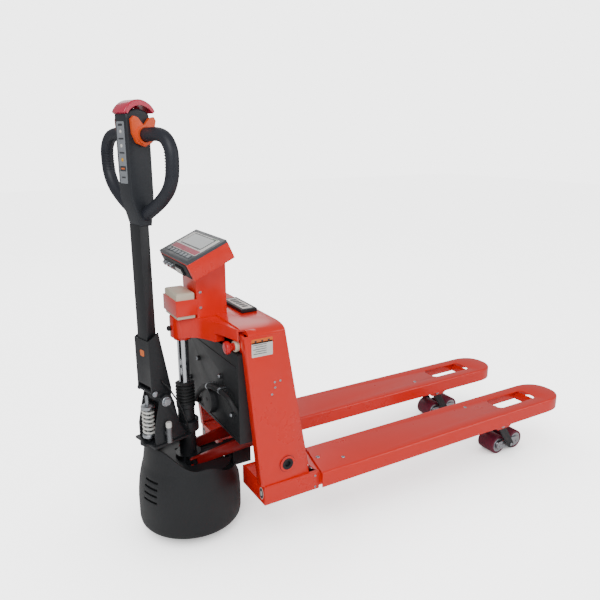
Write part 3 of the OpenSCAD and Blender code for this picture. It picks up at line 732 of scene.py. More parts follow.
def add_label(shape, centre, across, up, size, thick=0.5, corner=2.0):
    """A thin film label on a flat face: size is its width and height."""
    across, up = Vector(across).normalized(), Vector(up).normalized()
    out = across.cross(up)
    place = Matrix.Translation(centre) @ Matrix((across, up, out)).transposed().to_4x4()
    outline = []
    for cx, cy, start in ((1, 1, 0), (-1, 1, 90), (-1, -1, 180), (1, -1, 270)):
        for k in range(5):
            a = math.radians(start + 22.5 * k)
            outline.append((cx * (size[0] / 2 - corner) + corner * math.cos(a),
                            cy * (size[1] / 2 - corner) + corner * math.sin(a)))
    film = bmesh.new()
    bottom = [film.verts.new((x, y, -0.2)) for x, y in outline]
    top = [film.verts.new((x, y, thick)) for x, y in outline]
    film.faces.new(top)
    film.faces.new(bottom[::-1])
    for k in range(len(top)):
        film.faces.new((bottom[k], bottom[(k + 1) % len(top)], top[(k + 1) % len(top)], top[k]))
    film.transform(place)
    merge(shape, film)


class BuildChassis(bpy.types.Operator):
    """Build the side panels, hood, nose, front cover and what lies behind them."""

    bl_idname = "truck.build_chassis"
    bl_label = "Chassis"

    def execute(self, context):
        sizes = context.scene.truck_sizes
        for hand, side in (("left", 1), ("right", -1)):
            soften("side_panel_" + hand, sizes.sheet_edge, bend=7,
                   bent=lambda p: abs(abs(p.y) - 263) < 0.5
                   and abs(p.x + 567 + (p.z - 212) * 48 / 510) < 3)
            low, high = box_mm("side_panel_" + hand)
            wall_y = side * 263
            plug = bmesh.new()
            add_lathe(plug, [(0, -6), (9.5, -6), (10.5, 1.2), (17, 2.2), (25, 1.6), (28, 0),
                             (28, -1), (0, -10)],
                      along((-476, side * 267, 273), (0, side, 0)))
            make("shaft_plug_" + hand, plug, "dark_plastic", "chassis")
            bead = bmesh.new()
            add_tube(bead, [(-610, wall_y - side, 720), (-483, wall_y - side, 720)], 2.4, 10)
            make("panel_top_bead_" + hand, bead, "red_paint", "chassis")
        header, label, bars = bmesh.new(), bmesh.new(), bmesh.new()
        add_label(header, (-558, -263, 703), (1, 0, 0), (0, 0, 1), (70, 15), corner=2)
        add_label(label, (-558, -263, 677), (1, 0, 0), (0, 0, 1), (70, 46), corner=2)
        for k in range(3):
            add_label(bars, (-580 + 22 * k, -263.5, 703), (1, 0, 0), (0, 0, 1), (7, 5), corner=2)
        for k in range(5):
            add_label(bars, (-566 + 4 * (k % 2), -263.5, 692 - 7 * k), (1, 0, 0), (0, 0, 1),
                      (44 - 8 * (k % 2), 1.6), corner=0.7)
        make("panel_label_header", header, "label_orange", "chassis")
        make("panel_label", label, "label_white", "chassis")
        make("panel_label_bars", bars, "label_dark", "chassis")
        soften("rear_plate", sizes.sheet_edge)
        corners = bmesh.new()
        lift = Matrix.Translation((0, 0, 722))
        for side in (1, -1):
            shoulder = [(side * (203 + 60 * math.cos(t)), 20 * math.sin(t))
                        for t in [math.radians(7 * k) for k in range(8)]]
            add_plate(corners, shoulder + [(side * 222, 15.5), (side * 222, 0)], 575.2, 603,
                      lift @ Matrix.Rotation(math.radians(90), 4, "Z"))
        make("hood_corners", corners, "red_paint", "chassis")
        soften("nose_bracket", 2.6, segments=4)
        soften("hood", 2.2, segments=4)
        soften("front_cover", sizes.moulding_edge, segments=4)
        for node in ("motor_controller", "battery_pack", "pump_unit"):
            soften(node, 2.0)
        low, high = box_mm("motor_controller")
        fins = [((x, low.y - 0.5, (low.z + high.z) / 2), (0, -1, 0), 1.0)
                for x in range(int(low.x) + 8, int(high.x) - 4, 9)]
        fin = bmesh.new()
        add_block(fin, (-2, -38, -2), (2, 38, 6), radius=0.8)
        scatter("controller_fins", fin, fins, "cast_aluminium", "chassis")
        cover_x = box_mm("front_cover")[0].x + 16
        boss = bmesh.new()
        add_lathe(boss, [(36, 14), (40, 16.4), (44, 16.4), (47, 13), (48, 0), (36, 0)],
                  along((cover_x, 0, 430), (-1, 0, 0)), closed=True)
        add_lathe(boss, [(0, 17.5), (6, 17.5), (8, 16), (8, 10), (0, 10)],
                  along((cover_x, 0, 430), (-1, 0, 0)), steps=32)
        make("cover_boss_ring", boss, "black_plastic", "chassis")
        seams = bmesh.new()
        add_block(seams, (cover_x - 2.0, -215, 612), (cover_x + 1, 215, 614.5), radius=0.7)
        add_block(seams, (cover_x - 2.0, -217, 372), (cover_x + 1, 217, 374.5), radius=0.7)
        make("cover_ribs", seams, "black_plastic", "chassis")
        hose = bmesh.new()
        route = [(-618, 112, 380), (-636, 106, 388), (-641, 92, 402), (-642, 58, 440),
                 (-641, 2, 478), (-641, -57, 498), (-641, -130, 510), (-640, -186, 508),
                 (-634, -212, 486), (-618, -212, 462)]
        add_tube(hose, smooth_line(route, 8), 9, 20)
        make("cover_hose", hose, "rubber", "chassis")
        clips = bmesh.new()
        for y, z, turn in ((-28, 489, -20), (-130, 510, -3)):
            place = Matrix.Translation((-641, y, z)) @ Matrix.Rotation(math.radians(turn), 4, "X")
            add_lathe(clips, [(9.2, -5), (10.4, -5), (10.4, 5), (9.2, 5)],
                      place @ along((0, 0, 0), (0, 1, 0)), closed=True, steps=32)
            add_block(clips, (-2, -5, -1.5), (19, 5, 1.5), place @ Matrix.Translation((0, 0, 9.5)),
                      radius=0.6)
        make("hose_clips", clips, "zinc_steel", "chassis")
        screws = [((x, -263, z), (0, -1, 0), 4.0)
                  for x, z in ((-517, 562), (-498, 563), (-516, 544), (-527, 523))]
        for side in (1, -1):
            for k, x in enumerate((-235, 423)):
                y = side * 193.5 + (1 if k == 0 else -1) * side * 38
                screws.append(((x, y, 209.4), (0, 0, 1), 7.0))
        screws += [((-668, -60, z), (0, -1, 0), 5.0) for z in (770, 820)]
        screws += [((cover_x - 7, y, z), (-1, 0, 0), 6.5)
                   for y, z in ((95, 545), (-95, 545), (181, 445), (-181, 445))]
        scatter("panel_screws", socket_screw(), screws, "zinc_steel", "chassis",
                "panel_fasteners")
        knob = bmesh.new()
        nose_x = box_mm("nose_bracket")[0].x
        add_lathe(knob, [(0, 11), (5, 11), (8, 9), (9, 5), (8.4, 2), (6, 0.5), (6, -1), (0, -1)],
                  along((nose_x, 0, 700), (-1, 0, 0)), steps=32)
        make("nose_knob", knob, "dark_plastic", "chassis")
        low, high = rod_low, rod_high
        rod = bmesh.new()
        r = (high.x - low.x) / 2
        add_lathe(rod, [(0, low.z), (r - 1.5, low.z), (r, low.z + 1.5), (r, high.z), (0, high.z)],
                  Matrix.Translation((STEER_X, 0, 0)), steps=72)
        make("piston_rod_ground", rod, "chrome", "chassis", "piston_rod")
        return {"FINISHED"}


class BuildStopButton(bpy.types.Operator):
    """Build the emergency stop's mushroom head, collar and contact block."""

    bl_idname = "truck.build_stop_button"
    bl_label = "Stop button"

    def execute(self, context):
        low, high = box_mm("stop_button")
        middle = (low + high) / 2
        place = along((high.x, middle.y, middle.z), (-1, 0, 0))
        depth = high.x - low.x
        cap = bmesh.new()
        add_lathe(cap, [(0, 0), (12, 0), (12, depth - 22), (14, depth - 18), (19, depth - 14),
                        (20, depth - 11), (20, depth - 6), (18.6, depth - 2.4),
                        (15, depth - 0.6), (6, depth), (0, depth - 0.4)], place)
        make("stop_button_cap", cap, "red_cap", "stop_button", "stop_button")
        collar = bmesh.new()
        tab_x = high.x - 2
        add_lathe(collar, [(12.7, 5), (17, 5), (18, 7), (18, 15), (16, 18), (12.7, 18)],
                  along((tab_x, middle.y, middle.z), (-1, 0, 0)), closed=True, steps=48)
        make("stop_button_collar", collar, "cream_plastic", "chassis")
        contact = bmesh.new()
        add_block(contact, (tab_x + 10.8, middle.y - 16, middle.z - 14),
                  (tab_x + 24, middle.y + 16, middle.z + 14), radius=2)
        make("stop_button_contacts", contact, "dark_plastic", "chassis")
        return {"FINISHED"}


# ---- scale indicator ----


class BuildIndicator(bpy.types.Operator):
    """Build the weighing indicator: housing, bezel, display, keys, lamps and battery."""

    bl_idname = "truck.build_indicator"
    bl_label = "Scale indicator"

    def execute(self, context):
        sizes = context.scene.truck_sizes
        soften("indicator_housing", sizes.sheet_edge)
        soften("indicator_bezel", 1.6, finish="bezel_grey", segments=4)
        soften("indicator_screen", 0.8)
        right, up = HEAD.to_3x3() @ Vector((0, -1, 0)), HEAD.to_3x3() @ Vector((1, 0, 0))
        films = (("indicator_panel_film", "label_white", (84, 0, 8), (214, 92), 5),
                 ("indicator_display_rim", "label_dark", (96, 0, 8.4), (170, 60), 4),
                 ("indicator_display", "screen_glass", (96, 0, 8.9), (162, 52), 3),
                 ("indicator_key_strip", "key_pink", (50, 0, 8.4), (206, 20), 3))
        for name, finish, spot, size, corner in films:
            film = bmesh.new()
            add_label(film, HEAD @ Vector(spot), right, up, size, corner=corner)
            make(name, film, finish, "chassis")
        body = bmesh.new()
        add_block(body, (-2.5, -112, -50), (2, 112, -2), HEAD, radius=2.5)
        add_block(body, (-9, -70, -44), (-1, -6, -16), HEAD, radius=3)
        make("indicator_back_case", body, "dark_plastic", "chassis")
        plugs = bmesh.new()
        for y in (30, 62, 92):
            add_lathe(plugs, [(0, 0), (10, 0), (10, 5), (8, 6), (8, 10), (0, 10)],
                      HEAD @ along((-2, y, -28), (-1, 0, 0)), steps=12)
        make("indicator_plugs", plugs, "zinc_steel", "chassis")
        tag = bmesh.new()
        add_label(tag, HEAD @ Vector((-9, -38, -30)), HEAD.to_3x3() @ Vector((0, -1, 0)),
                  HEAD.to_3x3() @ Vector((0, 0, 1)), (48, 18), corner=2)
        make("indicator_tag", tag, "label_white", "chassis")
        key = bmesh.new()
        add_block(key, (-11, -8, -0.5), (11, 8, 2.6), radius=2.0)
        keys = [(HEAD @ Vector((26, -84 + 28 * i, 8.2)), (0, 0, 1), 0.9) for i in range(7)]
        head_turn = HEAD.to_3x3()
        flat = Matrix.Rotation(math.radians(90), 4, "Z")
        key.transform(head_turn.to_4x4() @ flat)
        scatter("indicator_keys", key, keys, "label_grey", "chassis")
        lamp = bmesh.new()
        add_lathe(lamp, [(0, 1.6), (1.8, 1.2), (2.6, 0), (2.6, -0.5), (0, -0.5)], steps=20)
        scatter("indicator_lamps", lamp,
                [(HEAD @ Vector((127, -90 + 10 * i, 8.6)), head_turn @ Vector((0, 0, 1)), 0.8)
                 for i in range(4)], "lamp_green", "chassis")
        soften("scale_battery", 4.0, segments=4)
        low, high = box_mm("scale_battery")
        lid = bmesh.new()
        add_block(lid, (low.x + 3, low.y + 3, high.z - 6), (high.x - 3, high.y - 3, high.z + 1.5),
                  radius=2.0)
        make("scale_battery_lid", lid, "cream_plastic", "chassis")
        soften("battery_strap", sizes.sheet_edge)
        low, high = box_mm("charge_gauge")
        soften("charge_gauge", 2.4, finish="dark_plastic", segments=4)
        window, marks = bmesh.new(), bmesh.new()
        middle = (low + high) / 2
        add_label(window, (middle.x, middle.y, high.z), (0, 1, 0), (-1, 0, 0), (138, 36), corner=5)
        make("charge_gauge_window", window, "label_white", "chassis")
        for k in range(5):
            add_label(marks, (middle.x, middle.y - 44 + 22 * k, high.z + 0.5), (0, 1, 0),
                      (-1, 0, 0), (13, 20), thick=0.8, corner=2)
        make("charge_gauge_bars", marks, "label_dark", "chassis")
        return {"FINISHED"}


# ---- drive unit ----

COVER_PROFILE = ((30, -12), (33, -6), (38, -2.4), (48, -0.4), (62, 0), (120, 0), (150, -2),
                 (180, -5.4), (202, -9.6), (226, -15), (248, -21.4), (290, -27.5), (326, -31))
VENT_LOW, VENT_PITCH, VENT_TALL = 148, 22, 7
VENT_FROM, VENT_TO = 9, 31  # degrees from straight ahead
VENT_LEVELS = [VENT_LOW + VENT_PITCH * i + step for i in range(4) for step in (0, VENT_TALL)]
RIM_FRONT, RIM_SIDE_DROP, RIM_BACK_DROP, RIM_NOTCH_DROP = 326, 66, 42, 56
COVER_STEPS = 148


def cover_inset(z):
    """How far inside its widest radius the drive cover stands at a height."""
    for (z0, d0), (z1, d1) in zip(COVER_PROFILE, COVER_PROFILE[1:]):
        if z <= z1:
            return d0 + (d1 - d0) * (z - z0) / (z1 - z0)
    return COVER_PROFILE[-1][1]


def ease(t):
    """A soft step from 0 to 1."""
    t = min(1, max(0, t))
    return t * t * (3 - 2 * t)


def cover_rim(turn):
    """Height of the drive cover's scalloped rim at an angle from straight ahead."""
    a = abs(turn)
    rim = RIM_FRONT - RIM_SIDE_DROP * ease((a - 30) / 52)
    rim -= RIM_BACK_DROP * ease((a - 92) / 44)
    return rim - RIM_NOTCH_DROP * ease((a - 147) / 5)


def drive_cover(radius, wall):
    """Bell-shaped cover with a scalloped rim and vent slots on both sides of its front."""
    shape = bmesh.new()
    fixed = [30, 33, 38, 43, 48, 55, 62, 80, 100, 120, 140]
    upper = sorted(VENT_LEVELS + [162, 184, 206, 228])
    columns = []
    for k in range(COVER_STEPS):
        turn = 360 * k / COVER_STEPS
        rim = cover_rim(turn if turn <= 180 else turn - 360)
        top = [z if rim > 240 else 140 + (rim - 140) * (z - 140) / 100 for z in upper]
        last = top[-1]
        top += [last + (rim - last) * j / 12 for j in range(1, 13)]
        angle = math.radians(180 + turn)
        column = []
        for z in fixed + top:
            r = radius + cover_inset(z)
            column.append(shape.verts.new((r * math.cos(angle), r * math.sin(angle), z)))
        columns.append(column)
    heights = fixed + upper
    for k in range(COVER_STEPS):
        turn = (k + 0.5) * 360 / COVER_STEPS
        turn = abs(turn if turn <= 180 else turn - 360)
        for j in range(len(columns[0]) - 1):
            slot = j < len(heights) and heights[j] in VENT_LEVELS[::2]
            if slot and VENT_FROM < turn < VENT_TO:
                continue
            following = columns[(k + 1) % COVER_STEPS]
            shape.faces.new((columns[k][j], following[j], following[j + 1], columns[k][j + 1]))
    bmesh.ops.recalc_face_normals(shape, faces=shape.faces)
    shape.transform(Matrix.Translation((STEER_X, 0, 0)))
    shape.transform(Matrix.Scale(MM, 4))
    mesh = bpy.data.meshes.new("drive_cover_moulding")
    shape.to_mesh(mesh)
    shape.free()
    obj = bpy.data.objects.new("drive_cover_moulding", mesh)
    bpy.context.scene.collection.objects.link(obj)
    solidify = obj.modifiers.new("wall", "SOLIDIFY")
    solidify.thickness = wall * MM
    solidify.offset = -1
    apply_modifiers(obj)
    round_edges(obj, 1.0, 2, 50)
    return dress(obj, "black_plastic", "drive_carrier", "drive_cover", smooth=45)


def cover_deck():
    """Floor inside the drive cover that closes it round the cylinder, slotted for the rocker."""
    deck, shade_liner = bmesh.new(), bmesh.new()
    place = Matrix.Translation((STEER_X, 0, 0))
    add_lathe(deck, [(43, 238), (144.5, 232), (145.5, 235), (43, 242)], place, closed=True,
              steps=96)
    # A dark rubber cone just inside the vent slots, cut away towards the forks: painted shade, so
    # that the slots look dark inside.
    add_lathe(shade_liner, [(158, 116), (161.5, 116), (156, 200), (149, 228), (146, 228),
                      (152.5, 200)], place, closed=True, steps=96)
    deck = make("drive_cover_deck", deck, "black_plastic", "drive_carrier")
    shade_liner = make("drive_cover_liner", shade_liner, "rubber", "drive_carrier")
    slot = bmesh.new()
    add_block(slot, (STEER_X - 26, -69, 90), (STEER_X + 220, 69, 300))
    carve(deck, slot)
    slot = bmesh.new()
    add_block(slot, (STEER_X - 20, -200, 90), (STEER_X + 220, 200, 300))
    carve(shade_liner, slot)
    dress(deck, "black_plastic", "drive_carrier")
    dress(shade_liner, "rubber", "drive_carrier")


class BuildDriveUnit(bpy.types.Operator):
    """Build the drive wheel, motor, lift cylinder, its boot and the drive cover."""

    bl_idname = "truck.build_drive_unit"
    bl_label = "Drive unit"

    def execute(self, context):
        sizes = context.scene.truck_sizes
        low, high = box_mm("drive_cover")
        drive_cover((high.y - low.y) / 2, sizes.cover_wall)
        cover_deck()
        soften("drive_carrier", 1.2)
        soften("drive_bracket", 1.5)
        soften("gearbox", 3.0)
        soften("traction_motor", 3.0)
        low, high = box_mm("lift_cylinder")
        cylinder = bmesh.new()
        add_lathe(cylinder, [(18.2, 236), (18.2, 440), (29, 440), (31, 438.4), (31, 425.5),
                             (29.5, 424), (28, 422), (28, 229), (27, 228), (0, 228), (0, 236)],
                  STEERED, steps=72)
        make("lift_cylinder_body", cylinder, "black_paint", "drive_unit", "lift_cylinder")
        boot = bmesh.new()
        folds = [(28.6 + 3.2 * math.cos(math.tau * 6 * t / 48), 441 + 66 * t / 48)
                 for t in range(49)]
        add_lathe(boot, [(18.6, 440), (29, 440)] + folds + [(25, 509), (22, 512), (18.6, 512)],
                  STEERED, closed=True, steps=72)
        make("cylinder_boot_bellows", boot, "rubber", "drive_unit", "cylinder_boot")
        low, high = box_mm("drive_tyre")
        wheel_r = (high.z - low.z) / 2
        w = 35
        place = STEERED @ along((0, 0, wheel_r), (0, 1, 0))
        tyre = bmesh.new()
        outline = [(80, -w), (wheel_r - 6, -w), (wheel_r - 1.6, -w + 1.6), (wheel_r, -w + 6)]
        for groove in (-12, 12):
            outline += [(wheel_r, groove - 3), (wheel_r - 3, groove - 2), (wheel_r - 3, groove + 2),
                        (wheel_r, groove + 3)]
        outline += [(wheel_r, w - 6), (wheel_r - 1.6, w - 1.6), (wheel_r - 6, w), (80, w)]
        add_lathe(tyre, outline, place, closed=True, steps=96)
        make("drive_tyre_tread", tyre, "drive_rubber", "drive_wheel", "drive_tyre")
        hub = bmesh.new()
        add_lathe(hub, [(12.1, -w + 1), (30, -w + 1), (34, -w + 8), (66, -w + 8), (70, -w + 2),
                        (80, -w + 2), (80, w - 2), (70, w - 2), (66, w - 8), (34, w - 8),
                        (30, w - 1), (12.1, w - 1)], place, closed=True, steps=72)
        make("drive_hub_disc", hub, "zinc_steel", "drive_wheel", "drive_hub")
        bolts = [((50 * math.cos(a), s * (w - 8), wheel_r + 50 * math.sin(a)), (0, s, 0), 6.0)
                 for s in (1, -1) for a in [math.tau * k / 5 for k in range(5)]]
        scatter("drive_hub_bolts", hex_bolt(), at(STEERED, bolts), "zinc_steel", "drive_wheel")
        return {"FINISHED"}


# ---- tiller ----


def spring_coil(radius, wire, turns, low, high):
    """Helical wire of the return spring, drawn by a spiral curve in Geometry Nodes."""
    name = "tiller_spring_coil"
    mesh = bpy.data.meshes.new(name)
    obj = bpy.data.objects.new(name, mesh)
    bpy.context.scene.collection.objects.link(obj)
    tree = bpy.data.node_groups.new(name + "_path", "GeometryNodeTree")
    sockets = {}
    for label, value in (("Radius", radius), ("Wire", wire / 2), ("Turns", turns),
                         ("Height", high - low)):
        sockets[label] = (tree.interface.new_socket(label, in_out="INPUT",
                                                    socket_type="NodeSocketFloat"), value)
    tree.interface.new_socket("Geometry", in_out="OUTPUT", socket_type="NodeSocketGeometry")
    entry = add_node(tree, "NodeGroupInput")
    spiral = add_node(tree, "GeometryNodeCurveSpiral",
                      {"Resolution": 36, "Rotations": (entry, "Turns"),
                       "Start Radius": (entry, "Radius"), "End Radius": (entry, "Radius"),
                       "Height": (entry, "Height")})
    ring = add_node(tree, "GeometryNodeCurvePrimitiveCircle",
                    {"Resolution": 14, "Radius": (entry, "Wire")})
    wire_mesh = add_node(tree, "GeometryNodeCurveToMesh",
                         {"Curve": (spiral, "Curve"), "Profile Curve": (ring, "Curve"),
                          "Fill Caps": True})
    solid = add_node(tree, "GeometryNodeRealizeInstances", {"Geometry": (wire_mesh, "Mesh")})
    coated = add_node(tree, "GeometryNodeSetMaterial",
                      {"Geometry": (solid, "Geometry"), "Material": surface("zinc_steel")})
    add_node(tree, "NodeGroupOutput", {"Geometry": (coated, "Geometry")})
    modifier = obj.modifiers.new("path", "NODES")
    modifier.node_group = tree
    for socket, value in sockets.values():
        unit = 1 if socket.name == "Turns" else MM
        modifier[socket.identifier] = value * unit
    apply_modifiers(obj)
    return obj


class BuildTillerBase(bpy.types.Operator):
    """Build the tiller's base, its pivot bolt, the return spring and the cable."""

    bl_idname = "truck.build_tiller_base"
    bl_label = "Tiller base"

    def execute(self, context):
        sizes = context.scene.truck_sizes
        soften("tiller_base", 2.0)
        bolt = bmesh.new()
        add_lathe(bolt, [(0, -56), (8, -56), (8, 56), (0, 56)],
                  STEERED @ along((-105, 0, 489), (0, 1, 0)), steps=32)
        for side in (1, -1):
            place = STEERED @ along((-105, side * 50, 489), (0, side, 0))
            add_lathe(bolt, [(0, 2), (15, 2), (16, 1), (16, 0), (0, 0)], place, steps=40)
            add_lathe(bolt, [(0, 10), (11, 10), (13, 8.4), (13, 2), (0, 2)], place, steps=6)
        make("tiller_pivot_bolt_hex", bolt, "zinc_steel", "drive_unit", "tiller_pivot_bolt")
        sleeve, cap = bmesh.new(), bmesh.new()
        place = STEERED @ Matrix.Translation((-109, -62, 0))
        add_lathe(sleeve, [(0, 356), (9, 356), (9, 408), (0, 408)], place, steps=36)
        add_block(sleeve, (-8, 0, 379), (8, 12, 391), place, radius=1)
        add_lathe(cap, [(0, 408), (9.6, 408), (9.6, 422), (8, 424.5), (0, 425)], place, steps=36)
        make("damper_sleeve", sleeve, "cast_aluminium", "drive_unit")
        make("damper_cap", cap, "white_plastic", "drive_unit")
        place = STEERED @ Matrix.Translation((-143, 0, 0))
        core = bmesh.new()
        add_lathe(core, [(0, 366), (20, 366), (21, 368), (21, 376), (19, 378), (7, 379),
                         (6.2, 384), (6.2, 505), (5, 508), (0, 508)], place, steps=40)
        add_lathe(core, [(7, 462), (20, 462), (21, 464), (21, 472), (8, 478), (7, 478)], place,
                  closed=True, steps=40)
        obj = make("tiller_spring_guide", core, "zinc_steel", "drive_unit", "tiller_spring")
        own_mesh(obj)
        coil = spring_coil(16.4, sizes.spring_wire, sizes.spring_turns, 379, 461)
        coil.data.transform(Matrix.Scale(MM, 4) @ place @ Matrix.Translation((0, 0, 379))
                            @ Matrix.Scale(1 / MM, 4))
        dress(coil, "white_plastic", "drive_unit", smooth=60)
        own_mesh(coil)
        cable = bmesh.new()
        route = [(-112, -44, 560), (-108, -46.5, 550), (-96, -54, 535), (-84, -56, 510),
                 (-71, -56, 487), (-60, -60, 460), (-50, -62, 430), (-40, -60, 400),
                 (-32, -52, 375), (-30, -44, 362), (-30, -42, 353)]
        add_tube(cable, smooth_line(route, 6), 2.5, 12, STEERED)
        sheath = make("tiller_cable_sheath", cable, "rubber", None, "tiller_cable")
        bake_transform(sheath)
        return {"FINISHED"}


HEAD_FOOT = 1036


class BuildTiller(bpy.types.Operator):
    """Build the tiller tube, head, grips, levers and buttons."""

    bl_idname = "truck.build_tiller"
    bl_label = "Tiller"

    def execute(self, context):
        sizes = context.scene.truck_sizes
        soften("tiller_tube", 2.0)
        beads = []
        for s in (1, -1):
            beads += weld_places((-143, s * 28, 562), (-113, s * 28, 562), sizes.weld_width * 0.7,
                                 STEERED)
            beads += weld_places((-144, s * 29, 564), (-144, s * 29, 688), sizes.weld_width * 0.6,
                                 STEERED)
        scatter("tiller_welds", weld_ripple(), beads, "black_paint", "tiller")
        eye = [((-139, s * 44, 522), (0, s, 0), 7.0) for s in (1, -1)]
        scatter("tiller_eye_bolts", hex_bolt(), at(STEERED, eye), "zinc_steel", "tiller")

        outline = [(-102, HEAD_FOOT), (-141, HEAD_FOOT), (-165, 1120), (-165, 1336)]
        outline += [(-128 + 45 * math.cos(math.radians(145 - 5 * k)),
                     1325 + 36 * math.sin(math.radians(145 - 5 * k))) for k in range(23)]
        outline += [(-90, 1336), (-90, 1120)]
        head = bmesh.new()
        add_plate(head, outline, -32, 32)
        rims = [e for e in head.edges if abs(e.verts[0].co.y - e.verts[1].co.y) < 1]
        bmesh.ops.bevel(head, geom=rims, offset=7, segments=5, profile=0.5, affect="EDGES",
                        clamp_overlap=True)
        head.transform(STEERED)
        obj = make("tiller_head_moulding", head, "grey_plastic", "tiller", "tiller_head")
        pockets = bmesh.new()
        for z in (1300, 1262, 1224):
            add_lathe(pockets, [(0, 13), (5.5, 13), (5.5, -2), (0, -2)],
                      STEERED @ along((-165, 0, z), (1, 0, 0)), steps=32)
        add_lathe(pockets, [(0, 1338), (6.5, 1338), (6.5, 1380), (0, 1380)],
                  STEERED @ Matrix.Translation((-128, 0, 0)), steps=32)
        carve(obj, pockets)
        dress(obj, "grey_plastic", "tiller", "tiller_head")

        strip, marks, dots = bmesh.new(), bmesh.new(), bmesh.new()
        across, up = STEERED.to_3x3() @ Vector((0, -1, 0)), (0, 0, 1)
        add_label(strip, STEERED @ Vector((-165, 0, 1243)), across, up, (40, 168), corner=4)
        make("head_strip", strip, "label_grey", "tiller")
        for dz, w, h in ((1318, 22, 6), (1281, 26, 4), (1243, 26, 4), (1200, 30, 14),
                         (1176, 20, 4)):
            add_label(marks, STEERED @ Vector((-165.5, 0, dz)), across, up, (w, h), corner=1.5)
        make("head_strip_marks", marks, "label_dark", "tiller")
        add_label(dots, STEERED @ Vector((-165.8, 0, 1200)), across, up, (18, 4), corner=1.5)
        add_label(dots, STEERED @ Vector((-148, 0, 648)), across, up, (22, 20), corner=5)
        make("head_strip_flash", dots, "label_orange", "tiller")

        grip_line = [(20, 1291), (60, 1292), (110, 1293), (145, 1283), (167, 1257), (172, 1225),
                     (166, 1180), (144, 1143), (104, 1111), (58, 1085), (20, 1066)]
        loops = bmesh.new()
        for s in (1, -1):
            path = smooth_line([(-118, s * y, z) for y, z in grip_line], 8)
            add_tube(loops, path, 18.6, 32, STEERED)
        make("grip_loops", loops, "grip_plastic", "tiller", "grips", smooth=60)
        ribs = []
        for s in (1, -1):
            for k in range(9):
                t = k / 8
                y, z = 170 - 4 * abs(t - 0.5), 1246 - 62 * t
                ribs.append(((-118, s * y, z), (0, 0.12 * s * (0.5 - t), 1), 1.0))
        rib = bmesh.new()
        add_lathe(rib, [(18.0, -1.2), (19.3, -0.8), (19.3, 0.8), (18.0, 1.2)], closed=True,
                  steps=36)
        scatter("grip_ribs", rib, at(STEERED, ribs), "grip_plastic", "tiller")

        soften("throttle", 2.4, segments=4)
        band = bmesh.new()

        def arc(radius, rise, first, last):
            turns = [first + (last - first) * k / 22 for k in range(23)]
            return [(-121 + radius * math.cos(math.radians(t)),
                     1326 + rise * math.sin(math.radians(t))) for t in turns]

        add_plate(band, arc(54, 59.5, 156, 26) + arc(46.5, 51, 26, 156), -33, 33)
        rims = [e for e in band.edges if abs(e.verts[0].co.y - e.verts[1].co.y) < 1]
        bmesh.ops.bevel(band, geom=rims, offset=4, segments=4, profile=0.5, affect="EDGES",
                        clamp_overlap=True)
        for y in (-36.8, 33.3):
            add_plate(band, arc(52, 57, 152, 30) + arc(45, 44, 30, 152), y, y + 3.5)
        add_lathe(band, [(0, 1346), (6, 1346), (6, 1378), (0, 1378)],
                  Matrix.Translation((-128, 0, 0)), steps=32)
        band.transform(STEERED)
        make("belly_button_cap", band, "red_button", "belly_button", "belly_button")
        for node, z in (("raise_button", 1300), ("lower_button", 1262), ("horn_button", 1224)):
            key = bmesh.new()
            add_lathe(key, [(0, 3), (3.2, 2.8), (4.6, 1.8), (5, 0.4), (5, -8), (0, -8)],
                      STEERED @ along((-165, 0, z), (-1, 0, 0)), steps=36)
            make(node + "_cap", key, SLOT_OF[node], frame["nodes"][node]["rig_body"], node)
        return {"FINISHED"}


# ---- stage ----


FLOOR_REACH = 14
FLOOR_GLOW = 3.4
SKY_LIGHT, SKY_SEEN = 0.42, 4.0
LIGHTS = (("key", (-2.6, -3.0, 3.6), 2.6, 120), ("fill", (3.2, -3.4, 2.4), 3.0, 50),
          ("back", (0.5, 3.8, 3.2), 3.0, 40))
CAMERA_SPOT = (-1.329, -1.793, 1.292)
CAMERA_YAW, CAMERA_PITCH = math.radians(59.5), math.radians(-15.2)
LENS_MM, SENSOR_MM = 36.54, 36


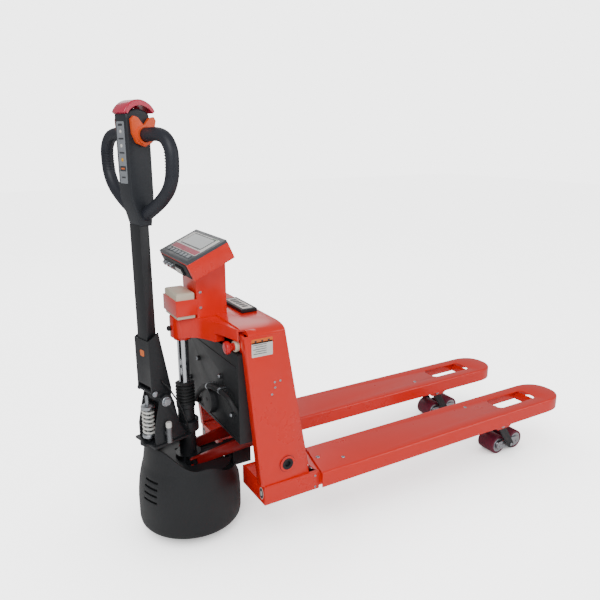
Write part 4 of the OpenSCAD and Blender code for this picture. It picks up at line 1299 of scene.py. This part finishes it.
class BuildStage(bpy.types.Operator):
    """Lay the floor, hang the lights and place the camera."""

    bl_idname = "truck.build_stage"
    bl_label = "Stage"

    def execute(self, context):
        mesh = bpy.data.meshes.new("floor")
        corners = [(x * FLOOR_REACH, y * FLOOR_REACH, 0)
                   for x, y in ((-1, -1), (1, -1), (1, 1), (-1, 1))]
        mesh.from_pydata(corners, [], [(0, 1, 2, 3)])
        floor = bpy.data.objects.new("floor", mesh)
        context.scene.collection.objects.link(floor)
        material = bpy.data.materials.new("pale_matt_backdrop")
        material.use_nodes = True
        shader = material.node_tree.nodes["Principled BSDF"]
        shader.inputs["Base Color"].default_value = (0.93, 0.93, 0.93, 1)
        shader.inputs["Roughness"].default_value = 0.9
        shader.inputs["Emission Color"].default_value = (1, 1, 1, 1)
        tree = material.node_tree
        # The floor glows evenly for the camera, but ambient occlusion darkens that glow near the
        # truck: a painted contact shadow.
        shade = add_node(tree, "ShaderNodeAmbientOcclusion", {"Distance": 0.45})
        seen = add_node(tree, "ShaderNodeLightPath", {})
        glow_with_painted_shadow = add_node(tree, "ShaderNodeMath", {0: (shade, "AO"), 1: (seen, "Is Camera Ray")},
                        operation="MULTIPLY")
        glow_with_painted_shadow = add_node(tree, "ShaderNodeMath", {0: (glow_with_painted_shadow, "Value"), 1: FLOOR_GLOW},
                        operation="MULTIPLY")
        tree.links.new(glow_with_painted_shadow.outputs[0], shader.inputs["Emission Strength"])
        mesh.materials.append(material)
        world = bpy.data.worlds.new("studio")
        world.use_nodes = True
        world.node_tree.nodes["Background"].inputs[0].default_value = (1, 1, 1, 1)
        seen = add_node(world.node_tree, "ShaderNodeLightPath", {})
        bright = add_node(world.node_tree, "ShaderNodeMapRange",
                          {"Value": (seen, "Is Camera Ray"), "To Min": SKY_LIGHT,
                           "To Max": SKY_SEEN})
        world.node_tree.links.new(bright.outputs[0],
                                  world.node_tree.nodes["Background"].inputs[1])
        context.scene.world = world
        for name, spot, size, power in LIGHTS:
            light = bpy.data.lights.new(name, "AREA")
            light.energy = power
            light.size = size
            lamp = bpy.data.objects.new(name, light)
            lamp.location = spot
            aim = Vector((0, 0, 0.5)) - Vector(spot)
            lamp.rotation_euler = aim.to_track_quat("-Z", "Y").to_euler()
            context.scene.collection.objects.link(lamp)
        lens = bpy.data.cameras.new("view")
        lens.lens = LENS_MM
        lens.sensor_width = SENSOR_MM
        camera = bpy.data.objects.new("view", lens)
        camera.location = CAMERA_SPOT
        level = math.cos(CAMERA_PITCH)
        aim = Vector((level * math.cos(CAMERA_YAW), level * math.sin(CAMERA_YAW),
                      math.sin(CAMERA_PITCH)))
        camera.rotation_euler = aim.to_track_quat("-Z", "Y").to_euler()
        context.scene.collection.objects.link(camera)
        context.scene.camera = camera
        return {"FINISHED"}


class TruckPanel(bpy.types.Panel):
    """Lists the truck's pieces."""

    bl_idname = "TRUCK_PT_pieces"
    bl_label = "Pallet truck"
    bl_space_type = "VIEW_3D"
    bl_region_type = "UI"
    bl_category = "Pallet Truck"

    def draw(self, context):
        for step in STEPS:
            self.layout.operator(step.bl_idname)


STEPS = (BuildStage, BuildForks, BuildLoadWheels, BuildChassis, BuildStopButton, BuildIndicator,
         BuildDriveUnit, BuildTillerBase, BuildTiller)
CLASSES = (TruckSizes, TruckColours, *STEPS, TruckPanel)


def register():
    """Register the classes and hang the settings on the scene."""
    for cls in CLASSES:
        bpy.utils.register_class(cls)
    bpy.types.Scene.truck_sizes = bpy.props.PointerProperty(type=TruckSizes)
    bpy.types.Scene.truck_colours = bpy.props.PointerProperty(type=TruckColours)


def unregister():
    """Take the settings and classes away again."""
    del bpy.types.Scene.truck_colours
    del bpy.types.Scene.truck_sizes
    for cls in reversed(CLASSES):
        bpy.utils.unregister_class(cls)


def main():
    """Build every piece."""
    register()
    for step in STEPS:
        group, name = step.bl_idname.split(".")
        getattr(getattr(bpy.ops, group), name)()


if __name__ == "__main__":
    main()
